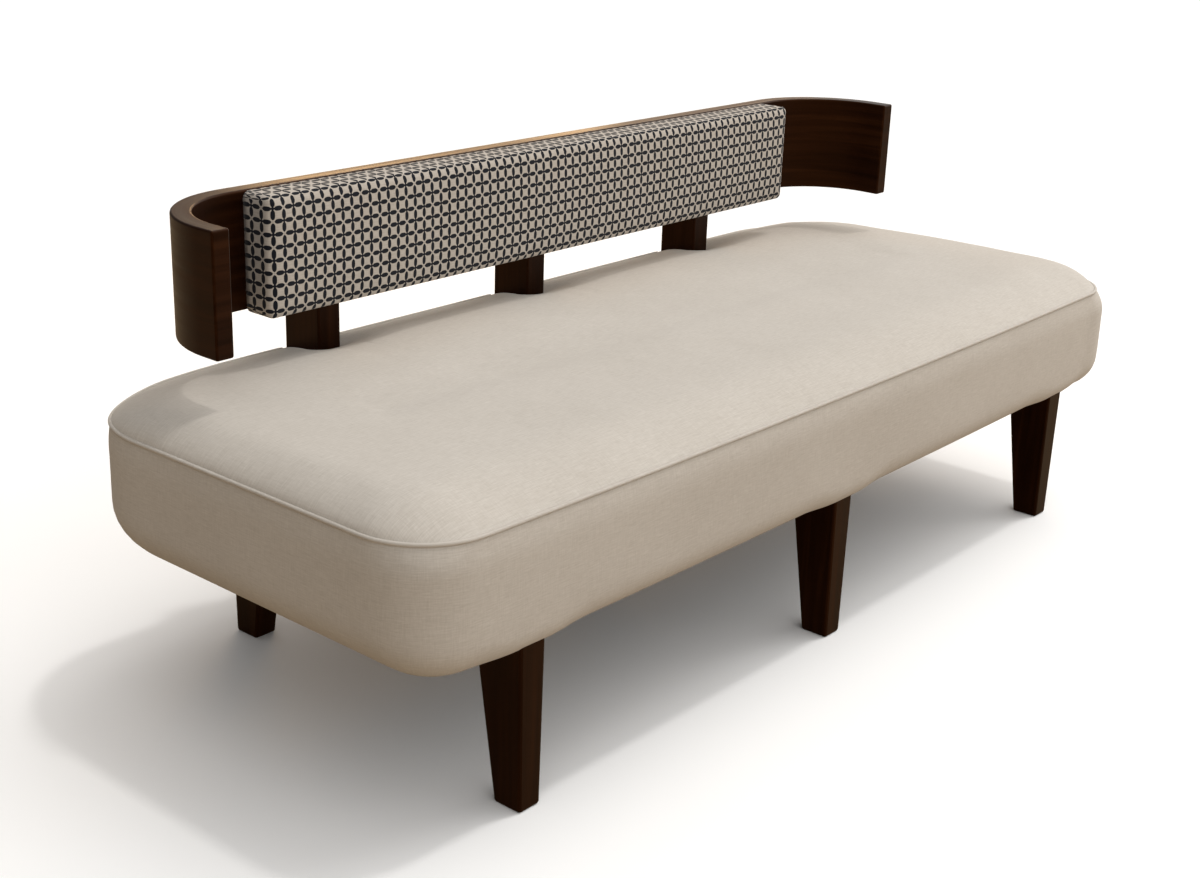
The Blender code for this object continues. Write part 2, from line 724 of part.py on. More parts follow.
def build_pad(wood, foam, print_cloth):
    """Make the back pad: a board, a foam block and a printed cover."""
    board_front = PAD_REAR - PAD_BOARD
    reach = PAD_COVER + PAD_BOARD_INSET
    low = (-PAD_HALF_LENGTH + reach, board_front, PAD_BOTTOM + reach)
    high = (PAD_HALF_LENGTH - reach, PAD_REAR, PAD_TOP - reach)
    block("pad_board", low, high, wood)
    loft("pad_foam", pad_rings(PAD_COVER + FIT, board_front - FIT), foam)
    inner = pad_rings(PAD_COVER, PAD_REAR)
    outer = pad_rings(0.0, PAD_REAR)
    loft("pad_cover", inner[::-1] + outer, print_cloth)


def main():
    """Build every piece of the bench."""
    clear_scene()
    walnut = make_material("dark_walnut", (0.045, 0.020, 0.010), 0.35)
    beech = make_material("frame_beech", (0.52, 0.36, 0.21), 0.60)
    linen = make_material("seat_linen", (0.56, 0.50, 0.43), 0.90)
    print_cloth = make_material("pad_print", (0.35, 0.32, 0.28), 0.90)
    foam = make_material("foam", (0.80, 0.74, 0.55), 0.95)
    webbing = make_material("webbing", (0.10, 0.09, 0.08), 0.85)
    cambric = make_material("cambric", (0.03, 0.03, 0.03), 0.95)
    steel = make_material("zinc_steel", (0.55, 0.55, 0.53), 0.35, 1.0)

    rails = build_frame(beech)
    build_webbing(webbing)
    build_foam(foam)
    dust_cover = build_covers(linen, cambric)
    build_legs(walnut, steel, rails, dust_cover, linen)
    band = build_band(walnut)
    build_posts(walnut, steel, rails["rear"], band)
    build_pad(beech, foam, print_cloth)


main()
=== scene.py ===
"""Dressed model of a long upholstered bench with a bent wood back band and a padded back rest.

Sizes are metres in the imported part's frame: X along the bench, Y to the back, Z up.
"""
import json
import logging
import math
from dataclasses import dataclass
from enum import Enum
from typing import Iterable, Optional, Sequence, Union

import bmesh
import bpy
import numpy as np
from mathutils import Matrix, Vector, noise


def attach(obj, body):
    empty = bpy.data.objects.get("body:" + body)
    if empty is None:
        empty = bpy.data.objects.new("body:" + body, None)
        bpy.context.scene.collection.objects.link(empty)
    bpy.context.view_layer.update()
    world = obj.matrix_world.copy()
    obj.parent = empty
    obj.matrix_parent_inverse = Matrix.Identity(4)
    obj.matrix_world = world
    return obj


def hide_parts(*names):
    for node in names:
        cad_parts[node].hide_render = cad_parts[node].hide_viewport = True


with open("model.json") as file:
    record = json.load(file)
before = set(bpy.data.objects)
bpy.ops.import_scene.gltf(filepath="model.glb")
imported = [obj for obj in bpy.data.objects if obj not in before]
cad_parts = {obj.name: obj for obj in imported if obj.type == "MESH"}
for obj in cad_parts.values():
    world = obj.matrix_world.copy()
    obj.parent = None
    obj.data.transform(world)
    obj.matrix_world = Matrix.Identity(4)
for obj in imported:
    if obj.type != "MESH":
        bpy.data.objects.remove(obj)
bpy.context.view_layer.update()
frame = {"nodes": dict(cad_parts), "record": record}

LOG = logging.getLogger("bench")
BODY = "root"
TINY = 1e-6
# The ranges that a noise and the weave's tone mostly fill.
NOISE_SPAN = (0.3, 0.7)
WEAVE_SPAN = (0.35, 0.65)
Triple = tuple[float, float, float]
Colour = Triple
Socket = bpy.types.NodeSocket
Value = Union[Socket, float]
Numbers = Union[float, np.ndarray]


class Slot(Enum):
    """The record's material slots."""

    WALNUT = "dark_walnut"
    BEECH = "frame_beech"
    LINEN = "seat_linen"
    PRINT = "pad_print"
    WEBBING = "webbing"
    CAMBRIC = "cambric"
    STEEL = "zinc_steel"


class Grain(Enum):
    """How a wood finish is laid on a piece: which coordinate its fibres follow."""

    UPRIGHT = "Object"
    ALONG_UV = "UV"


class NodeTree:
    """A Blender node tree, with short calls that add and join nodes."""

    def __init__(self, tree: bpy.types.NodeTree) -> None:
        """Keep the tree."""
        self.tree = tree

    def node(self, kind: str, inputs: Optional[dict] = None, **settings: object) -> bpy.types.Node:
        """Add a node.

        Args:
            kind: The node's Blender type.
            inputs: Values or sockets for its inputs, by name or number.
            settings: Attributes of the node, which are set first.

        Returns:
            The new node.
        """
        made = self.tree.nodes.new(kind)
        for key, value in settings.items():
            setattr(made, key, value)
        for key, value in (inputs or {}).items():
            self.feed(made.inputs[key], value)
        return made

    def feed(self, target: Socket, value: object) -> None:
        """Set an input to a number or a tuple, or join a socket to it."""
        if isinstance(value, bpy.types.NodeSocket):
            self.tree.links.new(value, target)
        else:
            target.default_value = value


class Shader(NodeTree):
    """A material, with short calls for what the finishes are made of."""

    def __init__(self, name: str) -> None:
        """Make a material with one plain Principled shader."""
        self.material = bpy.data.materials.new(name)
        self.material.use_nodes = True
        super().__init__(self.material.node_tree)
        self.surface = self.tree.nodes["Principled BSDF"]

    def set(self, **values: object) -> None:
        """Set or join the shader's own inputs; an underscore stands for a space."""
        for key, value in values.items():
            self.feed(self.surface.inputs[key.replace("_", " ")], value)

    def place(self, output: str) -> Socket:
        """Return a texture coordinate, such as Object or UV."""
        return self.node("ShaderNodeTexCoord").outputs[output]

    def math(self, operation: str, first: Value, second: Value = 0.0, third: Value = 0.0) -> Socket:
        """Return the result of a Math node, by its Blender name."""
        return self.node("ShaderNodeMath", {0: first, 1: second, 2: third}, operation=operation).outputs[0]

    def weigh(self, first: Socket, second: Socket, share: float) -> Socket:
        """Return a sum of two values, in which the first has the given share."""
        return self.math("MULTIPLY_ADD", first, share, self.math("MULTIPLY", second, 1 - share))

    def streaks(self, place: Socket, scale: Sequence[float], detail: float = 3.0, warp: float = 0.0) -> Socket:
        """Add a noise that is stretched by its scale along each axis.

        Args:
            place: The coordinate.
            scale: Cycles per metre along each axis.
            detail: The noise's detail.
            warp: The noise's distortion.

        Returns:
            The noise's factor.
        """
        laid = self.node("ShaderNodeMapping", {"Vector": place, "Scale": tuple(scale)})
        inputs = {"Vector": laid.outputs[0], "Scale": 1.0, "Detail": detail, "Distortion": warp}
        return self.node("ShaderNodeTexNoise", inputs).outputs["Fac"]

    def ramp(self, factor: Socket, stops: Sequence[tuple[float, Colour]]) -> Socket:
        """Return the colour of a ramp with the given positions and colours."""
        made = self.node("ShaderNodeValToRGB", {"Fac": factor})
        line = made.color_ramp.elements
        while len(line) < len(stops):
            line.new(0.5)
        for element, (position, colour) in zip(line, stops):
            element.position = position
            element.color = (*colour, 1.0)
        return made.outputs["Color"]

    def blend(self, factor: Value, first: object, second: object) -> Socket:
        """Return a mix of two colours, or of their sockets, with a factor for the second."""
        made = self.node("ShaderNodeMix", data_type="RGBA", blend_type="MIX")
        self.feed(made.inputs[0], factor)
        for index, colour in ((6, first), (7, second)):
            self.feed(made.inputs[index], (*colour, 1.0) if isinstance(colour, tuple) else colour)
        return made.outputs[2]

    def fit(self, value: Socket, low: float, high: float, to_low: float = 0.0, to_high: float = 1.0) -> Socket:
        """Return a value mapped from one range onto another, and clamped."""
        inputs = {0: value, 1: low, 2: high, 3: to_low, 4: to_high}
        return self.node("ShaderNodeMapRange", inputs).outputs[0]

    def bump(self, height: Socket, strength: float, distance: float, under: Optional[Socket] = None) -> Socket:
        """Add a Bump node and join it to the shader.

        Args:
            height: The height's socket.
            strength: The bump's strength.
            distance: The height in metres.
            under: A bump below this one.

        Returns:
            The normal's socket.
        """
        made = self.node("ShaderNodeBump", {"Height": height, "Strength": strength, "Distance": distance})
        if under is not None:
            self.feed(made.inputs["Normal"], under)
        self.set(Normal=made.outputs[0])
        return made.outputs[0]


@dataclass(frozen=True)
class Walnut:
    """Dark stained walnut with a satin face; scales are cycles per metre across and along the fibres."""

    name: str
    grain: Grain
    deep: Colour = (0.0040, 0.0011, 0.0004)
    middle: Colour = (0.0125, 0.0036, 0.0011)
    light: Colour = (0.0280, 0.0090, 0.0028)
    fibre: tuple[float, float] = (75.0, 3.0)
    figure: tuple[float, float] = (11.0, 0.9)
    pore: tuple[float, float] = (640.0, 14.0)
    fibre_share: float = 0.62
    pore_depth: float = 0.5
    roughness: tuple[float, float] = (0.31, 0.43)
    specular: float = 0.16
    gloss_tint: Colour = (1.0, 0.42, 0.18)

    def scale(self, cycles: tuple[float, float]) -> Triple:
        """Return cycles across and along the fibres as cycles on each axis of the grain's coordinate."""
        across, along = cycles
        return (across, across, along) if self.grain is Grain.UPRIGHT else (along, across, 1.0)

    def make(self) -> bpy.types.Material:
        """Return the finish as a material."""
        shader = Shader(self.name)
        place = shader.place(self.grain.value)
        fine = shader.streaks(place, self.scale(self.fibre), detail=6.0, warp=0.5)
        broad = shader.streaks(place, self.scale(self.figure), detail=3.0, warp=1.2)
        pores = shader.fit(shader.streaks(place, self.scale(self.pore), detail=2.0), low=0.60, high=0.72)
        stops = ((0.34, self.deep), (0.52, self.middle), (0.70, self.light))
        tone = shader.ramp(shader.weigh(fine, broad, self.fibre_share), stops)
        shader.set(Base_Color=shader.blend(shader.math("MULTIPLY", pores, self.pore_depth), tone, self.deep))
        shader.set(Roughness=shader.fit(fine, *NOISE_SPAN, *self.roughness))
        shader.set(Specular_IOR_Level=self.specular, Specular_Tint=(*self.gloss_tint, 1.0))
        under = shader.bump(fine, strength=0.10, distance=0.0004)
        between = shader.math("SUBTRACT", 1.0, pores)
        shader.bump(between, strength=0.12, distance=0.0003, under=under)
        return shader.material


@dataclass(frozen=True)
class Weave:
    """A slubby linen weave that follows the piece's UV map; sizes are cycles per metre."""

    streak_long: float = 90.0
    streak_fine: float = 900.0
    slub_long: float = 30.0
    slub_fine: float = 520.0
    thread: float = 1150.0
    weft_share: float = 0.62
    streak_share: float = 0.55
    knot_height: float = 0.25

    def threads(self, shader: Shader, place: Socket, long: float, fine: float, detail: float) -> Socket:
        """Return streaks along the weft and the warp, weighed together."""
        weft = shader.streaks(place, (long, fine, 1), detail)
        warp = shader.streaks(place, (fine, long, 1), detail)
        return shader.weigh(weft, warp, self.weft_share)

    def lay(self, shader: Shader, place: Socket) -> tuple[Socket, Socket]:
        """Add the weave's tone and height.

        Args:
            shader: The material that gets the weave.
            place: The coordinate in metres.

        Returns:
            The tone, about 0.5 on average, and the height.
        """
        fine = self.threads(shader, place, self.streak_long, self.streak_fine, detail=2.0)
        slubs = self.threads(shader, place, self.slub_long, self.slub_fine, detail=1.0)
        tone = shader.weigh(fine, slubs, self.streak_share)
        axes = shader.node("ShaderNodeSeparateXYZ", {0: place}).outputs
        over = [shader.math("SINE", shader.math("MULTIPLY", axes[k], self.thread * math.pi)) for k in range(2)]
        knots = shader.math("MULTIPLY", over[0], over[1])
        return tone, shader.math("MULTIPLY_ADD", knots, self.knot_height, tone)


@dataclass(frozen=True)
class Linen:
    """Pale beige upholstery linen."""

    name: str = "beige_linen"
    shade: Colour = (0.445, 0.405, 0.356)
    body: Colour = (0.500, 0.460, 0.410)
    bright: Colour = (0.555, 0.515, 0.464)
    cloud: float = 5.0
    cloud_depth: float = 0.16
    roughness: tuple[float, float] = (0.96, 0.86)
    sheen: float = 0.12
    weave: Weave = Weave()

    def make(self) -> bpy.types.Material:
        """Return the finish as a material."""
        shader = Shader(self.name)
        place = shader.place("UV")
        tone, height = self.weave.lay(shader, place)
        cloud = shader.math("SUBTRACT", shader.streaks(place, (self.cloud,) * 3, detail=2.0), 0.5)
        mixed = shader.math("MULTIPLY_ADD", cloud, self.cloud_depth, tone)
        stops = ((0.36, self.shade), (0.50, self.body), (0.64, self.bright))
        shader.set(Base_Color=shader.ramp(mixed, stops))
        shader.set(Roughness=shader.fit(tone, *WEAVE_SPAN, *self.roughness))
        shader.set(Sheen_Weight=self.sheen, Sheen_Roughness=0.5, Specular_IOR_Level=0.2)
        shader.bump(height, strength=0.22, distance=0.0006)
        return shader.material


@dataclass(frozen=True)
class PetalLattice:
    """Beige cloth with dark petals along the lines of a square lattice, a common geometric pattern."""

    name: str = "petal_lattice"
    cell: tuple[float, float] = (0.01868, 0.0193)
    origin: tuple[float, float] = (-0.6467, 0.5472)
    shade: Colour = (0.400, 0.355, 0.305)
    ground: Colour = (0.510, 0.462, 0.408)
    petal: Colour = (0.0045, 0.0058, 0.0105)
    edge: float = 0.035
    roughness: tuple[float, float] = (0.95, 0.86)
    sheen: float = 0.08
    swell: tuple[tuple[float, float], ...] = (
        (0.0, 0.074), (0.15, 0.080), (0.21, 0.140), (0.32, 0.178), (0.50, 0.190),
        (0.66, 0.178), (0.77, 0.138), (0.84, 0.080), (0.89, 0.0))
    weave: Weave = Weave()

    def half_width(self, shader: Shader, along: Socket) -> Socket:
        """Return a petal's half width at a share of the way from its joined end to its free one."""
        stops = [(position, (width,) * 3) for position, width in self.swell]
        return shader.node("ShaderNodeSeparateColor", {0: shader.ramp(along, stops)}).outputs[0]

    def row(self, shader: Shader, along: Socket, across: Socket) -> Socket:
        """Add the petals that lie along one of the lattice's two directions.

        Args:
            shader: The material.
            along: The coordinate along the petals, in cells.
            across: The coordinate across them, in cells.

        Returns:
            The mask of the petals.
        """
        start = shader.math("FLOOR", along)
        share = shader.math("FRACT", along)
        line = shader.math("ROUND", across)
        off = shader.math("ABSOLUTE", shader.math("SUBTRACT", across, line))
        turn = shader.math("FLOORED_MODULO", shader.math("ADD", start, line), 2.0)
        from_joint = shader.math("ABSOLUTE", shader.math("SUBTRACT", turn, share))
        inside = shader.math("SUBTRACT", self.half_width(shader, from_joint), off)
        return shader.fit(inside, -self.edge / 2, self.edge / 2)

    def make(self) -> bpy.types.Material:
        """Return the finish as a material."""
        shader = Shader(self.name)
        place = shader.place("UV")
        tone, height = self.weave.lay(shader, place)
        axes = shader.node("ShaderNodeSeparateXYZ", {0: place}).outputs
        cells = []
        for k in range(2):
            moved = shader.math("SUBTRACT", axes[k], self.origin[k])
            cells.append(shader.math("DIVIDE", moved, self.cell[k]))
        petals = shader.math("MAXIMUM", self.row(shader, *cells), self.row(shader, *cells[::-1]))
        ground = shader.ramp(tone, ((0.36, self.shade), (0.62, self.ground)))
        shader.set(Base_Color=shader.blend(petals, ground, self.petal))
        shader.set(Roughness=shader.fit(tone, *WEAVE_SPAN, *self.roughness))
        shader.set(Sheen_Weight=self.sheen, Sheen_Roughness=0.5, Specular_IOR_Level=0.2)
        under = shader.bump(height, strength=0.2, distance=0.0005)
        shader.bump(petals, strength=0.15, distance=0.0003, under=under)
        return shader.material


@dataclass(frozen=True)
class Plain:
    """A finish with one streaky tone, for the hidden and the small pieces."""

    name: str
    scale: Triple
    detail: float
    stops: tuple[tuple[float, Colour], ...]
    roughness: tuple[float, float]
    warp: float = 0.0
    bump: Optional[tuple[float, float]] = None
    metallic: float = 0.0

    def make(self) -> bpy.types.Material:
        """Return the finish as a material."""
        shader = Shader(self.name)
        tone = shader.streaks(shader.place("Object"), self.scale, self.detail, self.warp)
        shader.set(Base_Color=shader.ramp(tone, self.stops), Metallic=self.metallic)
        shader.set(Roughness=shader.fit(tone, *NOISE_SPAN, *self.roughness))
        if self.bump:
            shader.bump(tone, *self.bump)
        return shader.material


BEECH = Plain("sawn_beech", (6, 130, 130), 4.0, ((0.35, (0.40, 0.26, 0.14)), (0.62, (0.56, 0.39, 0.24))),
              (0.55, 0.75), warp=0.3, bump=(0.2, 0.0004))
STRAP = Plain("woven_strap", (900, 60, 60), 2.0, ((0.35, (0.05, 0.045, 0.04)), (0.65, (0.15, 0.135, 0.12))),
              (0.78, 0.92), bump=(0.4, 0.0005))
CAMBRIC = Plain("dust_cambric", (260, 260, 260), 5.0,
                ((0.35, (0.010, 0.010, 0.010)), (0.68, (0.040, 0.039, 0.038))),
                (0.88, 0.98), warp=1.5, bump=(0.3, 0.0004))
ZINC = Plain("zinc_plate", (300, 300, 300), 3.0, ((0.35, (0.46, 0.46, 0.45)), (0.65, (0.62, 0.62, 0.60))),
             (0.28, 0.45), metallic=1.0)


class Finishes:
    """Every finish of the bench, made once."""

    def __init__(self) -> None:
        """Make the materials."""
        self.walnut = Walnut("walnut_upright", Grain.UPRIGHT).make()
        self.bent_walnut = Walnut("walnut_bent", Grain.ALONG_UV).make()
        self.beech = BEECH.make()
        self.linen = Linen().make()
        self.lattice = PetalLattice().make()
        self.webbing = STRAP.make()
        self.cambric = CAMBRIC.make()
        self.steel = ZINC.make()


def read_points(mesh: bpy.types.Mesh) -> np.ndarray:
    """Return a mesh's points as rows of x, y and z."""
    flat = np.zeros(len(mesh.vertices) * 3, np.float32)
    mesh.vertices.foreach_get("co", flat)
    return flat.reshape(-1, 3).astype(float)


def write_points(mesh: bpy.types.Mesh, points: np.ndarray) -> None:
    """Give a mesh's points new places."""
    mesh.vertices.foreach_set("co", points.astype(np.float32).ravel())
    mesh.update()


def read_held(mesh: bpy.types.Mesh) -> np.ndarray:
    """Return how firmly each point of a skin is held, from 0 to 1."""
    held = np.zeros(len(mesh.vertices), np.float32)
    mesh.attributes["held"].data.foreach_get("value", held)
    return held


def face_corners(places: np.ndarray, wrap: float = 0.0) -> np.ndarray:
    """Return the cloth places of each face's four corners.

    Args:
        places: Places on the cloth, by station round the piece and step.
        wrap: What the first station's place gains when the way round comes back to it.

    Returns:
        By station and step, the places of the face's corners.
    """
    after = np.roll(places, -1, axis=0)
    if wrap:
        after[-1, :, 0] += wrap
    return np.stack((places[:, :-1], after[:, :-1], after[:, 1:], places[:, 1:]), axis=2)


def close_mesh(mesh: bpy.types.Mesh, distance: float = TINY) -> None:
    """Merge points closer than a distance, drop faces without area and point the rest outwards."""
    bm = bmesh.new()
    bm.from_mesh(mesh)
    bmesh.ops.remove_doubles(bm, verts=bm.verts, dist=distance)
    bmesh.ops.dissolve_degenerate(bm, edges=bm.edges, dist=distance)
    bmesh.ops.recalc_face_normals(bm, faces=bm.faces)
    bm.to_mesh(mesh)
    bm.free()
    mesh.shade_smooth()


def new_mesh(name: str, bm: bmesh.types.BMesh) -> bpy.types.Mesh:
    """Return a bmesh as a named mesh, and free it."""
    mesh = bpy.data.meshes.new(name)
    bm.to_mesh(mesh)
    bm.free()
    return mesh


def add_piece(name: str, mesh: bpy.types.Mesh, finish: bpy.types.Material) -> bpy.types.Object:
    """Link a mesh, which is in place, to the scene as a named piece with one finish."""
    mesh.materials.clear()
    mesh.materials.append(finish)
    piece = bpy.data.objects.new(name, mesh)
    bpy.context.scene.collection.objects.link(piece)
    return piece


def keep_result(piece: bpy.types.Object) -> None:
    """Make what a piece's modifiers give its plain mesh."""
    depsgraph = bpy.context.evaluated_depsgraph_get()
    made = bpy.data.meshes.new_from_object(piece.evaluated_get(depsgraph), depsgraph=depsgraph)
    piece.modifiers.clear()
    piece.data = made


def settle(piece: bpy.types.Object, nodes: Sequence[str] = ()) -> None:
    """Let a finished piece ride on the bench and stand for its solids.

    Args:
        piece: The piece.
        nodes: The solids that it stands for.
    """
    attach(piece, BODY)
    if nodes:
        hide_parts(*nodes)
    LOG.info("%s: %d faces, for %d solids", piece.name, len(piece.data.polygons), len(nodes))


def soft_least(first: np.ndarray, second: np.ndarray, width: Numbers) -> np.ndarray:
    """Return the lesser of two values, rounded where they meet within a width."""
    near = np.maximum(width - np.abs(first - second), 0) / width
    return np.minimum(first, second) - near * near * width / 4


def share_of(value: float) -> float:
    """Return a value held between 0 and 1."""
    return max(0.0, min(1.0, value))


@dataclass(frozen=True)
class Stuffing:
    """Fills a closed skin by a short cloth simulation and a soft, fixed noise."""

    limit: float
    crumples: tuple[tuple[float, float], ...]
    seed: float
    pressure: float = 4.0
    frames: int = 20
    quality: int = 5
    mass: float = 0.3
    tension: float = 30.0
    bending: float = 3.0
    evening: int = 60
    evening_keep: float = 0.5

    def fill(self, piece: bpy.types.Object) -> None:
        """Swell and crumple the cloth of a piece that marks its held points."""
        self.swell(piece)
        self.crumple(piece)

    def swell(self, piece: bpy.types.Object) -> None:
        """Swell a piece's free cloth, cap how far it moves and apply the result."""
        scene = bpy.context.scene
        mesh = piece.data
        held = read_held(mesh)
        group = piece.vertex_groups.new(name="held")
        for level in np.unique(held[held > 0]):
            group.add(np.flatnonzero(held == level).tolist(), float(level), "REPLACE")
        cloth = piece.modifiers.new("stuffing", "CLOTH")
        settings = {"quality": self.quality, "mass": self.mass, "tension_stiffness": self.tension,
                    "compression_stiffness": self.tension, "shear_stiffness": self.tension / 2,
                    "bending_stiffness": self.bending, "use_pressure": True,
                    "uniform_pressure_force": self.pressure, "vertex_group_mass": "held"}
        for key, value in settings.items():
            setattr(cloth.settings, key, value)
        cloth.settings.effector_weights.gravity = 0.0
        cloth.collision_settings.use_collision = False
        cloth.point_cache.frame_start = 1
        cloth.point_cache.frame_end = self.frames
        for step in range(1, self.frames + 1):
            scene.frame_set(step)
        swollen = piece.evaluated_get(bpy.context.evaluated_depsgraph_get()).to_mesh()
        before = read_points(mesh)
        moved = self.even(mesh, read_points(swollen) - before, 1.0 - held[:, None])
        far = np.linalg.norm(moved, axis=1, keepdims=True) + 1e-9
        moved *= self.limit * np.tanh(far / self.limit) / far
        piece.modifiers.remove(cloth)
        piece.vertex_groups.clear()
        scene.frame_set(1)
        write_points(mesh, before + moved)
        LOG.info("%s: cloth moved %.1f mm at most", piece.name, 1000 * np.linalg.norm(moved, axis=1).max())

    def even(self, mesh: bpy.types.Mesh, moved: np.ndarray, free: np.ndarray) -> np.ndarray:
        """Spread the movement over neighbouring points, so that the filling lies evenly.

        Args:
            mesh: The mesh whose points move.
            moved: How far each point moves.
            free: How free each point is, from 0 to 1.

        Returns:
            The evened movement.
        """
        edges = np.zeros(len(mesh.edges) * 2, np.int32)
        mesh.edges.foreach_get("vertices", edges)
        start, end = edges.reshape(-1, 2).T
        count = np.bincount(np.concatenate((start, end)), minlength=len(moved))[:, None]
        for _ in range(self.evening):
            total = np.zeros_like(moved)
            np.add.at(total, start, moved[end])
            np.add.at(total, end, moved[start])
            moved = free * (self.evening_keep * moved + (1 - self.evening_keep) * total / count)
        return moved

    def crumple(self, piece: bpy.types.Object) -> None:
        """Move a piece's free cloth along its normals by noise of each wavelength and height."""
        mesh = piece.data
        held = read_held(mesh)
        points = read_points(mesh)
        shift = Vector((self.seed,) * 3)
        for i, vertex in enumerate(mesh.vertices):
            free = 1.0 - float(held[i])
            if free > 0:
                for wave, height in self.crumples:
                    level = noise.noise(Vector(points[i] / wave) + shift)
                    points[i] += free * height * level * np.array(vertex.normal)
        write_points(mesh, points)


@dataclass
class Skin:
    """A closed skin made from rows of points.

    The points go by station round the piece, then by step. For each face between them, uv has its four corners'
    places on the cloth. For each point, held is 1 where the cloth is held and 0 where it is free.
    """

    name: str
    points: np.ndarray
    uv: np.ndarray
    held: np.ndarray

    def build(self, finish: bpy.types.Material, stuffing: Stuffing) -> bpy.types.Object:
        """Join the rows into one closed, stuffed mesh.

        Args:
            finish: The piece's material.
            stuffing: What fills it.

        Returns:
            The piece.
        """
        stations, steps = self.points.shape[:2]
        index = np.arange(stations * steps).reshape(stations, steps, 1)
        faces = face_corners(index).reshape(-1, 4)
        mesh = bpy.data.meshes.new(self.name)
        mesh.from_pydata(self.points.reshape(-1, 3).tolist(), [], faces.tolist())
        layer = mesh.uv_layers.new(name="cloth")
        layer.data.foreach_set("uv", self.uv.reshape(-1).astype(np.float32))
        mark = mesh.attributes.new("held", "FLOAT", "POINT")
        mark.data.foreach_set("value", self.held.reshape(-1).astype(np.float32))
        close_mesh(mesh)
        piece = add_piece(self.name, mesh, finish)
        stuffing.fill(piece)
        return piece


@dataclass(frozen=True)
class SeatStation:
    """One place on the seat's outline, with the shape of the cloth above and below it."""

    x: float
    y: float
    reach: tuple[float, float]
    spine: float
    bulge: float
    lower_round: float
    power: float
    notch: float = 0.0
    lift: float = 0.0
    piped: bool = True
    edge: float = 1.0

    def out_by(self, offset: float) -> tuple[float, float]:
        """Return the place that lies outwards from the outline by an offset."""
        return self.x + self.reach[0] * offset, self.y + self.reach[1] * offset


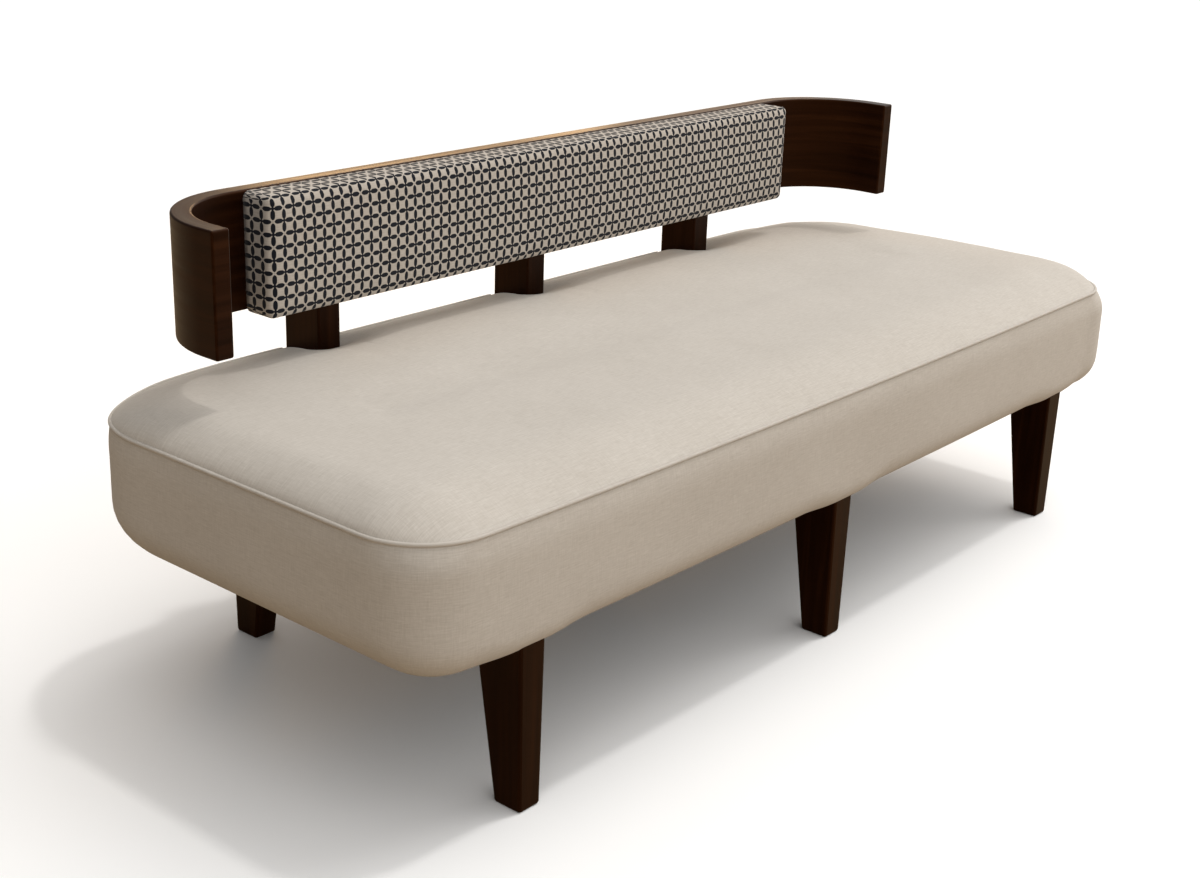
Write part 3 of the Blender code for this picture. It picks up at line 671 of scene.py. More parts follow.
@dataclass
class Seat:
    """The stuffed seat: top, side band, turned edge and the hollow that takes the frame."""

    half_length: float = 0.931
    half_depth: float = 0.386
    front_bow: float = 0.009
    front_radius: float = 0.110
    rear_radius: float = 0.205
    bottom: float = 0.2347
    seam: float = 0.425
    crown: float = 0.042
    crown_run: float = 0.200
    crown_power: float = 4.6
    crown_power_end: float = 6.2
    crown_power_rear: float = 2.4
    crown_edge: float = 0.65
    corner_ease: float = 1.5
    rear_edge_gain: float = 4.0
    rear_end_power: int = 3
    droops: tuple[tuple[float, float, float, float], ...] = (
        (-0.835, 0.355, 0.010, 0.120), (0.935, 0.185, 0.009, 0.170))
    front_bulge: float = 0.007
    end_bulge: float = 0.004
    rear_bulge: float = 0.005
    corner_bulge: float = 0.009
    right_reach: float = 0.006
    right_gain: float = 2.0
    bulge_drop: float = 0.0435
    round_front: float = 0.050
    round_end: float = 0.068
    round_rear: float = 0.060
    cover: float = 0.002
    turn_under: float = 0.008
    fit: float = 0.0003
    frame_end: float = 0.852
    frame_front: float = 0.331
    hollow_top: float = 0.2991
    post_x: float = 0.483
    notch_half: float = 0.0228
    notch_front: float = 0.2984
    notch_lift: float = 0.012
    notch_run: float = 0.135
    notch_power: float = 2.6
    notch_spine: float = 0.050
    notch_near: float = 0.120
    notch_blend: float = 0.006
    notch_side_steps: int = 8
    notch_back_steps: int = 6
    spine_flat: float = 0.620
    spine_end: float = 0.640
    step: float = 0.0095
    top_rings: int = 40
    ring_power: float = 1.35
    wall_steps: int = 7
    straight_steps: int = 5
    round_steps: int = 9
    held_spine: int = 4
    held_seam: int = 1
    held_notch: int = 14
    held_wall: int = 2
    leg_x: float = 0.731
    lip: float = 0.24
    lip_flat: float = 0.030
    lip_half: float = 0.110
    stuffing: Stuffing = Stuffing(limit=0.004, crumples=((0.16, 0.0012), (0.055, 0.0004)), seed=3.7)

    def posts(self) -> Triple:
        """Return the posts' x, from left to right."""
        return -self.post_x, 0.0, self.post_x

    def corner(self, rear: bool) -> tuple[float, float]:
        """Return the radius of the front or rear corners and their centres' y."""
        if rear:
            return self.rear_radius, self.half_depth - self.rear_radius
        return self.front_radius, self.front_radius + self.front_bow - self.half_depth

    def front_y(self, x: Numbers) -> Numbers:
        """Return the bowed front edge's y at places along it."""
        straight = self.half_length - self.front_radius
        bow = self.front_bow * (1 - np.clip(np.abs(x) / straight, 0, 1) ** 2)
        return self.front_bow - self.half_depth - bow

    def piece_sizes(self, out: tuple[float, float], rear: bool) -> Triple:
        """Return the bulge, the lower rounding and the crown's power for an outward direction."""
        across = out[1] ** 2
        along = 1 - across
        bulge = self.end_bulge * along + (self.rear_bulge if rear else self.front_bulge) * across
        if not rear:
            # Four times along times across is 1 half-way round a corner.
            bulge += 4 * self.corner_bulge * along * across
        bulge += self.right_reach * share_of(self.right_gain * out[0])
        lower = self.round_end * along + (self.round_rear if rear else self.round_front) * across
        power = self.crown_power_rear if rear else self.crown_power
        power += (along ** self.rear_end_power if rear else along) * (self.crown_power_end - power)
        return bulge, lower, power

    def plain(self, x: float, y: float, out: tuple[float, float], spine: float) -> SeatStation:
        """Return a station of the outline outside the notches; the cloth is drawn down over the front legs."""
        rear = out[1] > 0
        bulge, lower, power = self.piece_sizes(out, rear)
        along = out[0] ** 2
        edge = 1 - (1 - self.crown_edge) * (min(1.0, self.rear_edge_gain * along) if rear else along * along)
        if out[1] < 0:
            off = min(abs(x - leg) for leg in (-self.leg_x, 0.0, self.leg_x))
            share = share_of((self.lip_half - off) / (self.lip_half - self.lip_flat))
            lower *= 1 - self.lip * share * share * (3 - 2 * share)
        return SeatStation(x, y, out, spine, bulge, lower, power, edge=edge)

    def spread(self, start: float, end: float, step: Optional[float] = None) -> np.ndarray:
        """Return evenly spaced values between two ends, about one step apart."""
        count = max(2, round(abs(end - start) / (step or self.step)))
        return np.linspace(start, end, count + 1)

    def rear_spine(self, x: float) -> float:
        """Return where the line from a place on the rear edge meets the middle of the seat."""
        post = min(self.posts(), key=lambda p: abs(p - x))
        off = abs(x - post)
        if off < self.notch_near:
            share = (off - self.notch_half) / (self.notch_near - self.notch_half)
            return post + math.copysign(self.notch_spine + share * (self.notch_near - self.notch_spine), x - post)
        return self.redraw(x, self.half_length - self.rear_radius, self.spine_end)

    def redraw(self, x: float, old_end: float, new_end: float) -> float:
        """Return a place with the part of its line beyond the flat spine drawn to a new end."""
        beyond = max(0.0, abs(x) - self.spine_flat) / (old_end - self.spine_flat)
        near = min(abs(x), self.spine_flat)
        return math.copysign(near + beyond * (new_end - self.spine_flat), x)

    def notch_stations(self, post: float) -> list[SeatStation]:
        """Return the stations round the notch at one post, from its right side to its left."""
        sizes = self.piece_sizes((0.0, 1.0), True)

        def station(x: float, y: float, share: float, spine: float) -> SeatStation:
            """Return a station, with its share of the way into the notch."""
            return SeatStation(post + x, y, (0.0, 1.0 - share), post + spine, *sizes, notch=share,
                               lift=share * self.notch_lift, piped=share == 0.0)

        half = self.notch_half
        shares = np.linspace(0.0, 1.0, self.notch_side_steps + 1)
        depths = self.half_depth + shares * (self.notch_front - self.half_depth)
        spines = self.notch_spine + shares * (half - self.notch_spine)
        sides = list(zip(depths, shares, spines))
        made = [station(half, *side) for side in sides]
        for x in np.linspace(half, -half, self.notch_back_steps + 1)[1:-1]:
            made.append(station(x, self.notch_front, 1.0, x))
        return made + [station(-half, y, share, -spine) for y, share, spine in reversed(sides)]

    def rear_stations(self) -> list[SeatStation]:
        """Return the rear edge with its notches, from right to left."""
        straight = self.half_length - self.rear_radius
        posts = self.posts()[::-1]
        edges = [straight]
        for post in posts:
            edges += [post + self.notch_half, post - self.notch_half]
        edges.append(-straight)
        made = []
        for k, (start, end) in enumerate(zip(edges[::2], edges[1::2])):
            run = self.spread(start, end)
            run = run[(0 if k == 0 else 1):(None if k == len(posts) else -1)]
            made += [self.plain(x, self.half_depth, (0.0, 1.0), self.rear_spine(x)) for x in run]
            if k < len(posts):
                made += self.notch_stations(posts[k])
        return made

    def arc(self, side: int, rear: bool, first: float, last: float) -> list[SeatStation]:
        """Return the stations of one corner without its two end points, which the runs have."""
        radius, centre_y = self.corner(rear)
        centre_x = side * (self.half_length - radius)
        made = []
        for angle in np.radians(self.spread(first, last, math.degrees(self.step / radius)))[1:-1]:
            out = (math.cos(angle), math.sin(angle))
            x, y = centre_x + radius * out[0], centre_y + radius * out[1]
            made.append(self.plain(x, y, out, side * self.spine_end))
        return made

    def end_run(self, side: int, rearward: bool) -> list[SeatStation]:
        """Return the stations of one straight end, with its two end points."""
        values = self.spread(self.corner(not rearward)[1], self.corner(rearward)[1])
        return [self.plain(side * self.half_length, y, (float(side), 0.0), side * self.spine_end) for y in values]

    def front_stations(self, spines: Iterable[float]) -> list[SeatStation]:
        """Return the front edge from left to right, opposite the rear edge's own stations."""
        straight = self.half_length - self.front_radius
        made = []
        for spine in spines:
            x = self.redraw(spine, self.spine_end, straight)
            made.append(self.plain(x, self.front_y(x), (0.0, -1.0), spine))
        return made

    def stations(self) -> list[SeatStation]:
        """Return the whole outline, from the right end of the rear edge round the left, front and right."""
        rear = self.rear_stations()
        made = list(rear)
        made += self.arc(-1, True, 90, 180) + self.end_run(-1, False) + self.arc(-1, False, 180, 270)
        made += self.front_stations([station.spine for station in reversed(rear)])
        made += self.arc(1, False, 270, 360) + self.end_run(1, True) + self.arc(1, True, 0, 90)
        return made

    def inset(self, x: np.ndarray, y: np.ndarray) -> np.ndarray:
        """Return how far places on the top lie in from the plain outline."""
        to_end = self.half_length - np.abs(x)
        to_side = np.minimum(y - self.front_y(x), self.half_depth - y)
        front, rear = self.corner(False), self.corner(True)
        radius = np.where(y < 0, front[0], rear[0])
        centre_y = np.where(y < 0, front[1], rear[1])
        beyond = np.maximum(np.minimum(to_end, to_side) - radius, 0)
        inward = soft_least(to_end, to_side, self.corner_ease * beyond + TINY)
        in_x = np.abs(x) - (self.half_length - radius)
        in_y = np.sign(y) * (y - centre_y)
        in_corner = (in_x > 0) & (in_y > 0)
        return np.maximum(np.where(in_corner, radius - np.hypot(in_x, in_y), inward), 0)

    def rise(self, station: SeatStation, x: np.ndarray, y: np.ndarray) -> np.ndarray:
        """Return how far the top stands above the seam along one station's line, with a dip round each post.

        Args:
            station: The station that the line ends at.
            x: The places' x.
            y: The places' y.

        Returns:
            The heights above the seam.
        """
        left = np.clip(1 - self.inset(x, y) / self.crown_run, 0, 1)
        rise = self.crown * (1 - left ** station.power) ** station.edge
        depth = self.half_depth - self.notch_front
        lift = self.notch_lift * np.clip((self.half_depth - y) / depth, 0, 1)
        for post in self.posts():
            in_x = np.maximum(np.abs(x - post) - self.notch_half, 0)
            in_y = np.maximum(self.notch_front - y, 0)
            left = np.clip(1 - np.hypot(in_x, in_y) / self.notch_run, 0, 1)
            dip = lift + (self.crown - lift) * (1 - left ** self.notch_power)
            rise = soft_least(rise, dip, self.notch_blend)
        rise[-1] = station.lift
        return np.maximum(rise, 0.0) - self.droop(x, y)

    def droop(self, x: Numbers, y: Numbers) -> Numbers:
        """Return how far the seam and the top hang lower near the two rear corners."""
        return sum(depth * np.exp(-((x - at_x) ** 2 + (y - at_y) ** 2) / spread ** 2)
                   for at_x, at_y, depth, spread in self.droops)

    def side_line(self, station: SeatStation) -> list[tuple[float, float]]:
        """Return (offset, height) pairs down the side, from below the seam to the underside."""
        line = []
        for share in np.linspace(0, 1, self.wall_steps + 1)[1:]:
            line.append((station.bulge * (1 - (1 - share) ** 2), self.seam - share * self.bulge_drop))
        end = self.bottom + station.lower_round
        for height in np.linspace(line[-1][1], end, self.straight_steps + 1)[1:-1]:
            line.append((station.bulge, height))
        for angle in np.linspace(0, math.pi / 2, self.round_steps + 1):
            inward = station.lower_round * (1 - math.cos(angle))
            line.append((station.bulge - inward, end - station.lower_round * math.sin(angle)))
        return line

    def below_seam(self, station: SeatStation) -> list[Vector]:
        """Return one station's points: the side, the turned edge, the hollow and its middle."""
        row = []
        for offset, height in self.side_line(station):
            rise = max(0.0, (height - self.hollow_top) / (self.seam - self.hollow_top))
            height += (station.lift - self.droop(station.x, station.y)) * rise
            height += station.notch * (max(height, self.hollow_top) - height)
            row.append(Vector((*station.out_by(offset), height)))
        turned = station.out_by(station.bulge - station.lower_round - self.turn_under)
        beside = self.beside_frame(station)
        inside = self.bottom + self.cover
        for place, height in ((turned, self.bottom), (turned, inside), (beside, inside), (beside, self.hollow_top)):
            row.append(Vector((*place, height + station.notch * (self.hollow_top - height))))
        return row + [Vector((station.spine, 0.0, self.hollow_top))]

    def beside_frame(self, station: SeatStation) -> tuple[float, float]:
        """Return the place beside the seat frame's outer face that faces a station."""
        if station.notch > 0:
            return station.x, self.notch_front
        rear = station.y > 0
        radius, centre_y = self.corner(rear)
        place = [station.x, station.y]
        faces = ((self.half_length - radius, self.frame_end),
                 (abs(centre_y), self.notch_front if rear else self.frame_front))
        for k, (centre, face) in enumerate(faces):
            out = abs(station.reach[k]) / math.hypot(*station.reach)
            if out > TINY:
                place[k] = math.copysign(centre + out * (face + self.fit - centre), place[k])
        return place[0], place[1]

    def pins(self, station: SeatStation, count: int) -> np.ndarray:
        """Return which of a station's points hold the cloth: all but those well within the top and the side."""
        pins = np.ones(count)
        in_notch = station.notch != 0
        pins[self.held_spine:self.top_rings - (self.held_notch if in_notch else self.held_seam)] = 0.0
        if not in_notch:
            pins[self.top_rings + self.held_wall:self.top_rings + self.wall_steps + self.straight_steps] = 0.0
        return pins

    def build(self, finish: bpy.types.Material) -> bpy.types.Object:
        """Make the stuffed seat, with its cloth flat on the top and unrolled on the side.

        Args:
            finish: The linen.

        Returns:
            The seat.
        """
        stations = self.stations()
        shares = (np.arange(self.top_rings + 1) / self.top_rings)[::-1] ** self.ring_power
        rows, top_uv, side_uv, held = [], [], [], []
        girth = 0.0
        last = stations[0]
        for station in stations:
            girth += math.hypot(station.x - last.x, station.y - last.y)
            last = station
            x = station.x + shares * (station.spine - station.x)
            y = station.y * (1 - shares)
            top = [Vector(p) for p in zip(x, y, self.seam + self.rise(station, x, y))]
            below = self.below_seam(station)
            rows.append(top + below)
            top_uv.append(np.stack((x, y), axis=1))
            falls = [(b - a).length for a, b in zip([top[-1]] + below, below)]
            side_uv.append([(girth, -fall) for fall in np.cumsum([0.0] + falls)])
            held.append(self.pins(station, len(rows[-1])))
        uv = (face_corners(np.array(top_uv)), face_corners(np.array(side_uv), girth + self.step))
        skin = Skin("seat_cushion", np.array(rows, float), np.concatenate(uv, axis=1), np.array(held))
        return skin.build(finish, self.stuffing)

    def seam_runs(self) -> list[list[Vector]]:
        """Return the seam's lengths: one round the front and one between each pair of posts."""
        stations = self.stations()
        breaks = [i for i, station in enumerate(stations) if not station.piped]
        turned = stations[breaks[-1] + 1:] + stations[:breaks[-1] + 1]
        runs, run = [], []
        for station in turned:
            if station.piped:
                run.append(Vector((station.x, station.y, self.seam - self.droop(station.x, station.y))))
            elif run:
                runs.append(run)
                run = []
        return runs


class PathTool(NodeTree):
    """A Geometry Nodes tree that makes something along a path."""

    def __init__(self, name: str, sizes: dict[str, float]) -> None:
        """Make a tree with the named inputs and their values."""
        super().__init__(bpy.data.node_groups.new(name, "GeometryNodeTree"))
        face = self.tree.interface
        face.new_socket("Geometry", in_out="INPUT", socket_type="NodeSocketGeometry")
        self.keys = {}
        for key in sizes:
            self.keys[key] = face.new_socket(key, in_out="INPUT", socket_type="NodeSocketFloat").identifier
        face.new_socket("Geometry", in_out="OUTPUT", socket_type="NodeSocketGeometry")
        self.sizes = sizes
        self.given = self.node("NodeGroupInput").outputs
        self.path = self.node("GeometryNodeMeshToCurve", {0: self.given["Geometry"]}).outputs[0]

    def close(self, shape: Socket, finish: bpy.types.Material) -> None:
        """End the tree with real geometry and its finish."""
        real = self.node("GeometryNodeRealizeInstances", {0: shape})
        dressed = self.node("GeometryNodeSetMaterial", {"Geometry": real.outputs[0], "Material": finish})
        self.node("NodeGroupOutput", {0: dressed.outputs[0]})

    def run(self, name: str, paths: Sequence[Sequence[Vector]], finish: bpy.types.Material,
            closed: bool = False) -> bpy.types.Object:
        """Run the tree on paths and keep the result as a plain mesh.

        Args:
            name: The piece's name.
            paths: The paths' points.
            finish: The piece's material.
            closed: Whether each path ends where it starts.

        Returns:
            The piece.
        """
        points, edges = [], []
        for path in paths:
            first = len(points)
            points += [tuple(point) for point in path]
            edges += [(i, i + 1) for i in range(first, len(points) - 1)]
            if closed:
                edges.append((len(points) - 1, first))
        mesh = bpy.data.meshes.new(name)
        mesh.from_pydata(points, edges, [])
        piece = add_piece(name, mesh, finish)
        modifier = piece.modifiers.new(name, "NODES")
        modifier.node_group = self.tree
        for key, value in self.sizes.items():
            modifier[self.keys[key]] = value
        keep_result(piece)
        close_mesh(piece.data)
        return piece


@dataclass
class Piping:
    """The corded seam round the seat."""

    radius: float = 0.0030
    sides: float = 12.0
    proud: float = 0.0010
    tuck: tuple[Triple, ...] = ((0.004, 0.0, 0.0), (0.007, -0.004, -0.003), (0.009, -0.010, -0.010))

    def tucked(self, run: list[Vector]) -> list[Vector]:
        """Return a seam's length with both ends turned into the seat beside the posts."""
        lifted = [point + Vector((0, 0, self.proud)) for point in run]
        ends = []
        for end, near in ((lifted[0], lifted[1]), (lifted[-1], lifted[-2])):
            side = math.copysign(1.0, near.x - end.x)
            ends.append([end + Vector((side * x, y, z)) for x, y, z in self.tuck])
        return ends[0][::-1] + lifted[1:-1] + ends[1]

    def build(self, seat: Seat, finish: bpy.types.Material) -> bpy.types.Object:
        """Make the cord along the seat's seam.

        Args:
            seat: The seat that the seam belongs to.
            finish: The linen.

        Returns:
            The piping.
        """
        tool = PathTool("piping_cord", {"Radius": self.radius, "Sides": self.sides})
        sizes = {"Resolution": tool.given["Sides"], "Radius": tool.given["Radius"]}
        ring = tool.node("GeometryNodeCurvePrimitiveCircle", sizes)
        swept = {"Curve": tool.path, "Profile Curve": ring.outputs[0], "Fill Caps": True}
        tube = tool.node("GeometryNodeCurveToMesh", swept)
        tool.close(tool.node("GeometryNodeSetShadeSmooth", {0: tube.outputs[0]}).outputs[0], finish)
        piece = tool.run("seat_piping", [self.tucked(run) for run in seat.seam_runs()], finish)
        self.lay_cloth(piece.data)
        return piece

    def lay_cloth(self, mesh: bpy.types.Mesh) -> None:
        """Give the cord cloth places that follow the bench's own axes."""
        layer = mesh.uv_layers.get("cloth") or mesh.uv_layers.new(name="cloth")
        for loop in mesh.loops:
            place = mesh.vertices[loop.vertex_index].co
            layer.data[loop.index].uv = (place.x + place.y, place.z)


@dataclass
class BackPad:
    """The patterned pad in front of the band."""

    half_length: float = 0.655
    bottom: float = 0.5345
    top: float = 0.7195
    front: float = 0.2245
    rear: float = 0.2849
    crown: float = 0.004
    crown_run: float = 0.070
    crown_power: float = 2.4
    edge_round: float = 0.010
    corner_round: float = 0.011
    board_front: float = 0.2786
    board_inset: float = 0.0052
    board_end: float = 0.0060
    step: float = 0.0097
    side_stretch: float = 1.2
    top_turn: float = 1.25
    rings: int = 9
    free_share: float = 0.9
    corner_steps: int = 4
    round_steps: int = 6
    depth_steps: int = 5
    stuffing: Stuffing = Stuffing(limit=0.002, crumples=((0.09, 0.0006),), seed=9.1)

    def outline(self) -> list[tuple[float, float, float, float]]:
        """Return (x, z, outward x, outward z) round the pad, from the right end of its top."""
        middle = (self.top + self.bottom) / 2
        half = (self.top - self.bottom) / 2
        flat_x = self.half_length - self.corner_round
        flat_z = half - self.corner_round
        along = np.linspace(flat_x, -flat_x, round(2 * flat_x / self.step) + 1)
        down = np.linspace(flat_z, -flat_z, round(2 * flat_z / self.step) + 1)
        made = [(x, middle + half, 0.0, 1.0) for x in along]
        made += self.corner(-flat_x, middle + flat_z, 90)
        made += [(-self.half_length, middle + z, -1.0, 0.0) for z in down]
        made += self.corner(-flat_x, middle - flat_z, 180)
        made += [(x, middle - half, 0.0, -1.0) for x in along[::-1]]
        made += self.corner(flat_x, middle - flat_z, 270)
        made += [(self.half_length, middle + z, 1.0, 0.0) for z in down[::-1]]
        made += self.corner(flat_x, middle + flat_z, 0)
        return made

    def corner(self, x: float, z: float, first: float) -> list[tuple[float, float, float, float]]:
        """Return the places of one rounded corner between its two straight sides."""
        made = []
        for angle in np.radians(np.linspace(first, first + 90, self.corner_steps + 1)[1:-1]):
            out = (math.cos(angle), math.sin(angle))
            made.append((x + self.corner_round * out[0], z + self.corner_round * out[1], *out))
        return made

    def row(self, x: float, z: float, out_x: float, out_z: float) -> tuple[list[Triple], list[tuple], list[float]]:
        """Return one line over the pad, from the middle of its face to the middle of its board.

        Args:
            x: The outline's x.
            z: The outline's z.
            out_x: The outward direction's x.
            out_z: The outward direction's z.

        Returns:
            The line's points, their places on the cloth, and 1 for those that hold the cloth.
        """
        middle = (self.top + self.bottom) / 2
        spine_end = self.half_length - (self.top - self.bottom) / 2
        face = self.front + self.crown
        points, places = [], []
        edge_x = x - out_x * self.edge_round
        edge_z = z - out_z * self.edge_round
        spine = max(-spine_end, min(spine_end, edge_x))
        shares = np.linspace(0, 1, self.rings + 1)
        for share in shares:
            px = spine + share * (edge_x - spine)
            pz = middle + share * (edge_z - middle)
            inset = min(px + self.half_length, self.half_length - px, pz - self.bottom, self.top - pz)
            low = max(0.0, 1 - inset / self.crown_run)
            points.append((px, face - self.crown * (1 - low ** self.crown_power), pz))
            places.append((px, pz))
        for angle in np.linspace(0, math.pi / 2, self.round_steps + 1)[1:]:
            reach = self.edge_round * math.sin(angle)
            y = face + self.edge_round * (1 - math.cos(angle))
            points.append((edge_x + out_x * reach, y, edge_z + out_z * reach))
            arc = self.edge_round * angle
            places.append((edge_x + out_x * arc, edge_z + out_z * arc * self.top_turn))
        start = face + self.edge_round
        turned = places[-1]
        for y in np.linspace(start, self.rear, self.depth_steps + 1)[1:]:
            points.append((x, y, z))
            arc = (y - start) / self.side_stretch
            places.append((turned[0] + out_x * arc, turned[1] + out_z * arc))
        inset = self.board_inset
        for y in (self.rear, self.board_front):
            points.append((x - out_x * (inset + self.board_end), y, z - out_z * inset))
            places.append((places[-1][0] + out_x * inset, places[-1][1] + out_z * inset))
        points.append((spine, self.board_front, middle))
        places.append(places[-1])
        free = int(np.sum(shares < self.free_share))
        return points, places, [0.0] * free + [1.0] * (len(points) - free)

    def build(self, finish: bpy.types.Material) -> bpy.types.Object:
        """Make the stuffed pad.

        Args:
            finish: The patterned cloth.

        Returns:
            The pad.
        """
        points, places, held = (np.array(part) for part in zip(*(self.row(*place) for place in self.outline())))
        return Skin("back_pad", points, face_corners(places), held).build(finish, self.stuffing)


@dataclass
class BackBand:
    """The bent wood band that carries the pad and wraps round the bench's ends."""

    thickness: float = 0.030
    bottom: float = 0.540
    top: float = 0.721
    half_length: float = 0.848
    radius: float = 0.175
    tail: float = 0.034
    rear: float = 0.3152
    ease: float = 0.0035
    ease_steps: int = 3
    ease_angle: float = 60.0
    bend_steps: int = 48
    straight_steps: int = 24
    cap_squeeze: float = 0.03
    cap_shift: float = 0.5

    def path(self) -> list[tuple[Vector, Vector]]:
        """Return places on the outer face with their outward directions, from the left tail to the right one."""
        centre_x = self.half_length - self.radius
        centre_y = self.rear - self.radius
        made = [(Vector((-self.half_length, centre_y - self.tail, 0)), Vector((-1, 0, 0)))]
        for side, first in ((-1, 180), (1, 90)):
            for angle in np.radians(np.linspace(first, first - 90, self.bend_steps + 1)):
                out = Vector((math.cos(angle), math.sin(angle), 0))
                made.append((Vector((side * centre_x, centre_y, 0)) + out * self.radius, out))
            if side < 0:
                for x in np.linspace(-centre_x, centre_x, self.straight_steps + 1)[1:-1]:
                    made.append((Vector((x, self.rear, 0)), Vector((0, 1, 0))))
        made.append((Vector((self.half_length, centre_y - self.tail, 0)), Vector((1, 0, 0))))
        return made

    def build(self, finish: bpy.types.Material) -> bpy.types.Object:
        """Make the band with eased edges.

        Args:
            finish: Walnut that follows the bend.

        Returns:
            The band.
        """
        bm = bmesh.new()
        layer = bm.loops.layers.uv.new("cloth")
        path = self.path()
        rows = []
        for place, out in path:
            inner = place - out * self.thickness
            corners = ((place, self.bottom), (place, self.top), (inner, self.top), (inner, self.bottom))
            rows.append([bm.verts.new((p.x, p.y, z)) for p, z in corners])
        along = np.cumsum([0.0] + [(b - a).length for (a, _), (b, _) in zip(path, path[1:])])
        height = self.top - self.bottom
        girth = np.cumsum([0.0, height, self.thickness, height, self.thickness])
        for i in range(len(rows) - 1):
            for k in range(4):
                j = (k + 1) % 4
                face = bm.faces.new((rows[i][k], rows[i + 1][k], rows[i + 1][j], rows[i][j]))
                places = ((i, k), (i + 1, k), (i + 1, k + 1), (i, k + 1))
                for loop, (step, turn) in zip(face.loops, places):
                    loop[layer].uv = (along[step], girth[turn])
        cap_places = ((0, 0), (0, height), (self.thickness, height), (self.thickness, 0))
        for row, start in ((rows[0], along[0]), (rows[-1], along[-1])):
            for loop, (u, v) in zip(bm.faces.new(row).loops, cap_places):
                loop[layer].uv = (start + self.cap_squeeze * u, v + self.cap_shift)
        bmesh.ops.recalc_face_normals(bm, faces=bm.faces)
        mesh = new_mesh("bent_band", bm)
        mesh.shade_smooth()
        piece = add_piece("bent_band", mesh, finish)
        ease = piece.modifiers.new("ease", "BEVEL")
        ease.width = self.ease
        ease.segments = self.ease_steps
        ease.limit_method = "ANGLE"
        ease.angle_limit = math.radians(self.ease_angle)
        ease.harden_normals = True
        keep_result(piece)
        return piece


@dataclass
class DustCloth:
    """The dust cloth under the seat, stapled round its edge; it sags in the bays between the rails."""

    gap: float = 0.0010
    height: float = 0.2356
    thickness: float = 0.0006
    sag: float = 0.006
    bays: tuple[tuple[float, float], ...] = ((-0.80, -0.30), (-0.26, 0.26), (0.30, 0.80))
    bay_front: float = -0.29
    bay_depth: float = 0.52
    rings: int = 24
    weld: float = 2e-4
    staple_inset: float = 0.010
    staple_width: float = 0.011
    staple_wire: float = 0.0012
    staple_pitch: float = 0.045

    def edge(self, seat: Seat) -> list[SeatStation]:
        """Return the seat's stations without those inside the notches."""
        return [station for station in seat.stations() if station.notch < TINY]

    def place(self, seat: Seat, station: SeatStation, inset: float) -> Vector:
        """Return a place on the cloth's edge, or further in by an inset."""
        turned = station.bulge - station.lower_round - seat.turn_under - self.gap - inset
        return Vector((*station.out_by(turned), self.height))

    def sink(self, x: float, y: float) -> float:
        """Return how far the cloth hangs down between the rails."""
        depth = share_of((y - self.bay_front) / self.bay_depth)
        for low, high in self.bays:
            if low < x < high:
                share = (x - low) / (high - low)
                return self.sag * math.sin(math.pi * share) ** 2 * math.sin(math.pi * depth) ** 2
        return 0.0

    def build(self, seat: Seat, finish: bpy.types.Material) -> tuple[bpy.types.Object, float, tuple[float, float]]:
        """Make the cloth.

        Args:
            seat: The seat that it closes.
            finish: The cambric.

        Returns:
            The cloth, its flat area and the size of the rectangle that it is cut from.
        """
        bm = bmesh.new()
        stations = self.edge(seat)
        edge = [self.place(seat, station, 0.0) for station in stations]
        rows = []
        for share in np.linspace(0, 1, self.rings + 1):
            row = []
            for point, station in zip(edge, stations):
                x = point.x + share * (station.spine - point.x)
                y = point.y * (1 - share)
                row.append(bm.verts.new((x, y, self.height - self.sink(x, y))))
            rows.append(row)
        for low, high in zip(rows, rows[1:]):
            for i in range(len(low)):
                j = (i + 1) % len(low)
                bm.faces.new((low[i], low[j], high[j], high[i]))
        mesh = new_mesh("dust_cloth", bm)
        close_mesh(mesh, self.weld)
        if sum(face.normal.z * face.area for face in mesh.polygons) > 0:
            mesh.flip_normals()
        piece = add_piece("dust_cloth", mesh, finish)
        flat = np.array([(p.x, p.y) for p in edge])
        after = np.roll(flat, -1, axis=0)
        area = abs(np.sum(flat[:, 0] * after[:, 1] - flat[:, 1] * after[:, 0])) / 2
        size = flat.max(0) - flat.min(0)
        return piece, float(area), (float(size[0]), float(size[1]))

    def staples(self, seat: Seat, finish: bpy.types.Material) -> bpy.types.Object:
        """Make the staples that hold the cloth.

        Args:
            seat: The seat that the cloth closes.
            finish: The steel.

        Returns:
            The staples.
        """
        sizes = {"Pitch": self.staple_pitch, "Width": self.staple_width, "Wire": self.staple_wire}
        tool = PathTool("staple_row", sizes)
        pitch, width, wire = (tool.given[key] for key in sizes)
        dots = tool.node("GeometryNodeResampleCurve", {"Curve": tool.path, "Length": pitch}, mode="LENGTH")
        size = tool.node("ShaderNodeCombineXYZ", {0: wire, 1: wire, 2: width})
        bar = tool.node("GeometryNodeMeshCube", {"Size": size.outputs[0]})
        along = tool.node("GeometryNodeInputTangent").outputs[0]
        turn = tool.node("FunctionNodeAlignEulerToVector", {"Vector": along}, axis="Z")
        laid = tool.node("GeometryNodeInstanceOnPoints", {
            "Points": dots.outputs[0], "Instance": bar.outputs[0], "Rotation": turn.outputs[0]})
        tool.close(laid.outputs[0], finish)
        drop = Vector((0, 0, -self.thickness))
        line = [self.place(seat, station, self.staple_inset) + drop for station in self.edge(seat)]
        return tool.run("dust_cloth_staples", [line], finish, closed=True)


@dataclass(frozen=True)
class Sun:
    """A light from far away: the direction to it, its strength, its angle in degrees and its colour."""

    name: str
    towards: Triple
    strength: float
    spread: float
    colour: Colour

    def add(self) -> None:
        """Add the light."""
        data = bpy.data.lights.new(self.name, "SUN")
        data.energy = self.strength
        data.angle = math.radians(self.spread)
        data.color = self.colour
        item = bpy.data.objects.new(self.name, data)
        item.rotation_euler = Vector(self.towards).to_track_quat("Z", "Y").to_euler()
        bpy.context.scene.collection.objects.link(item)


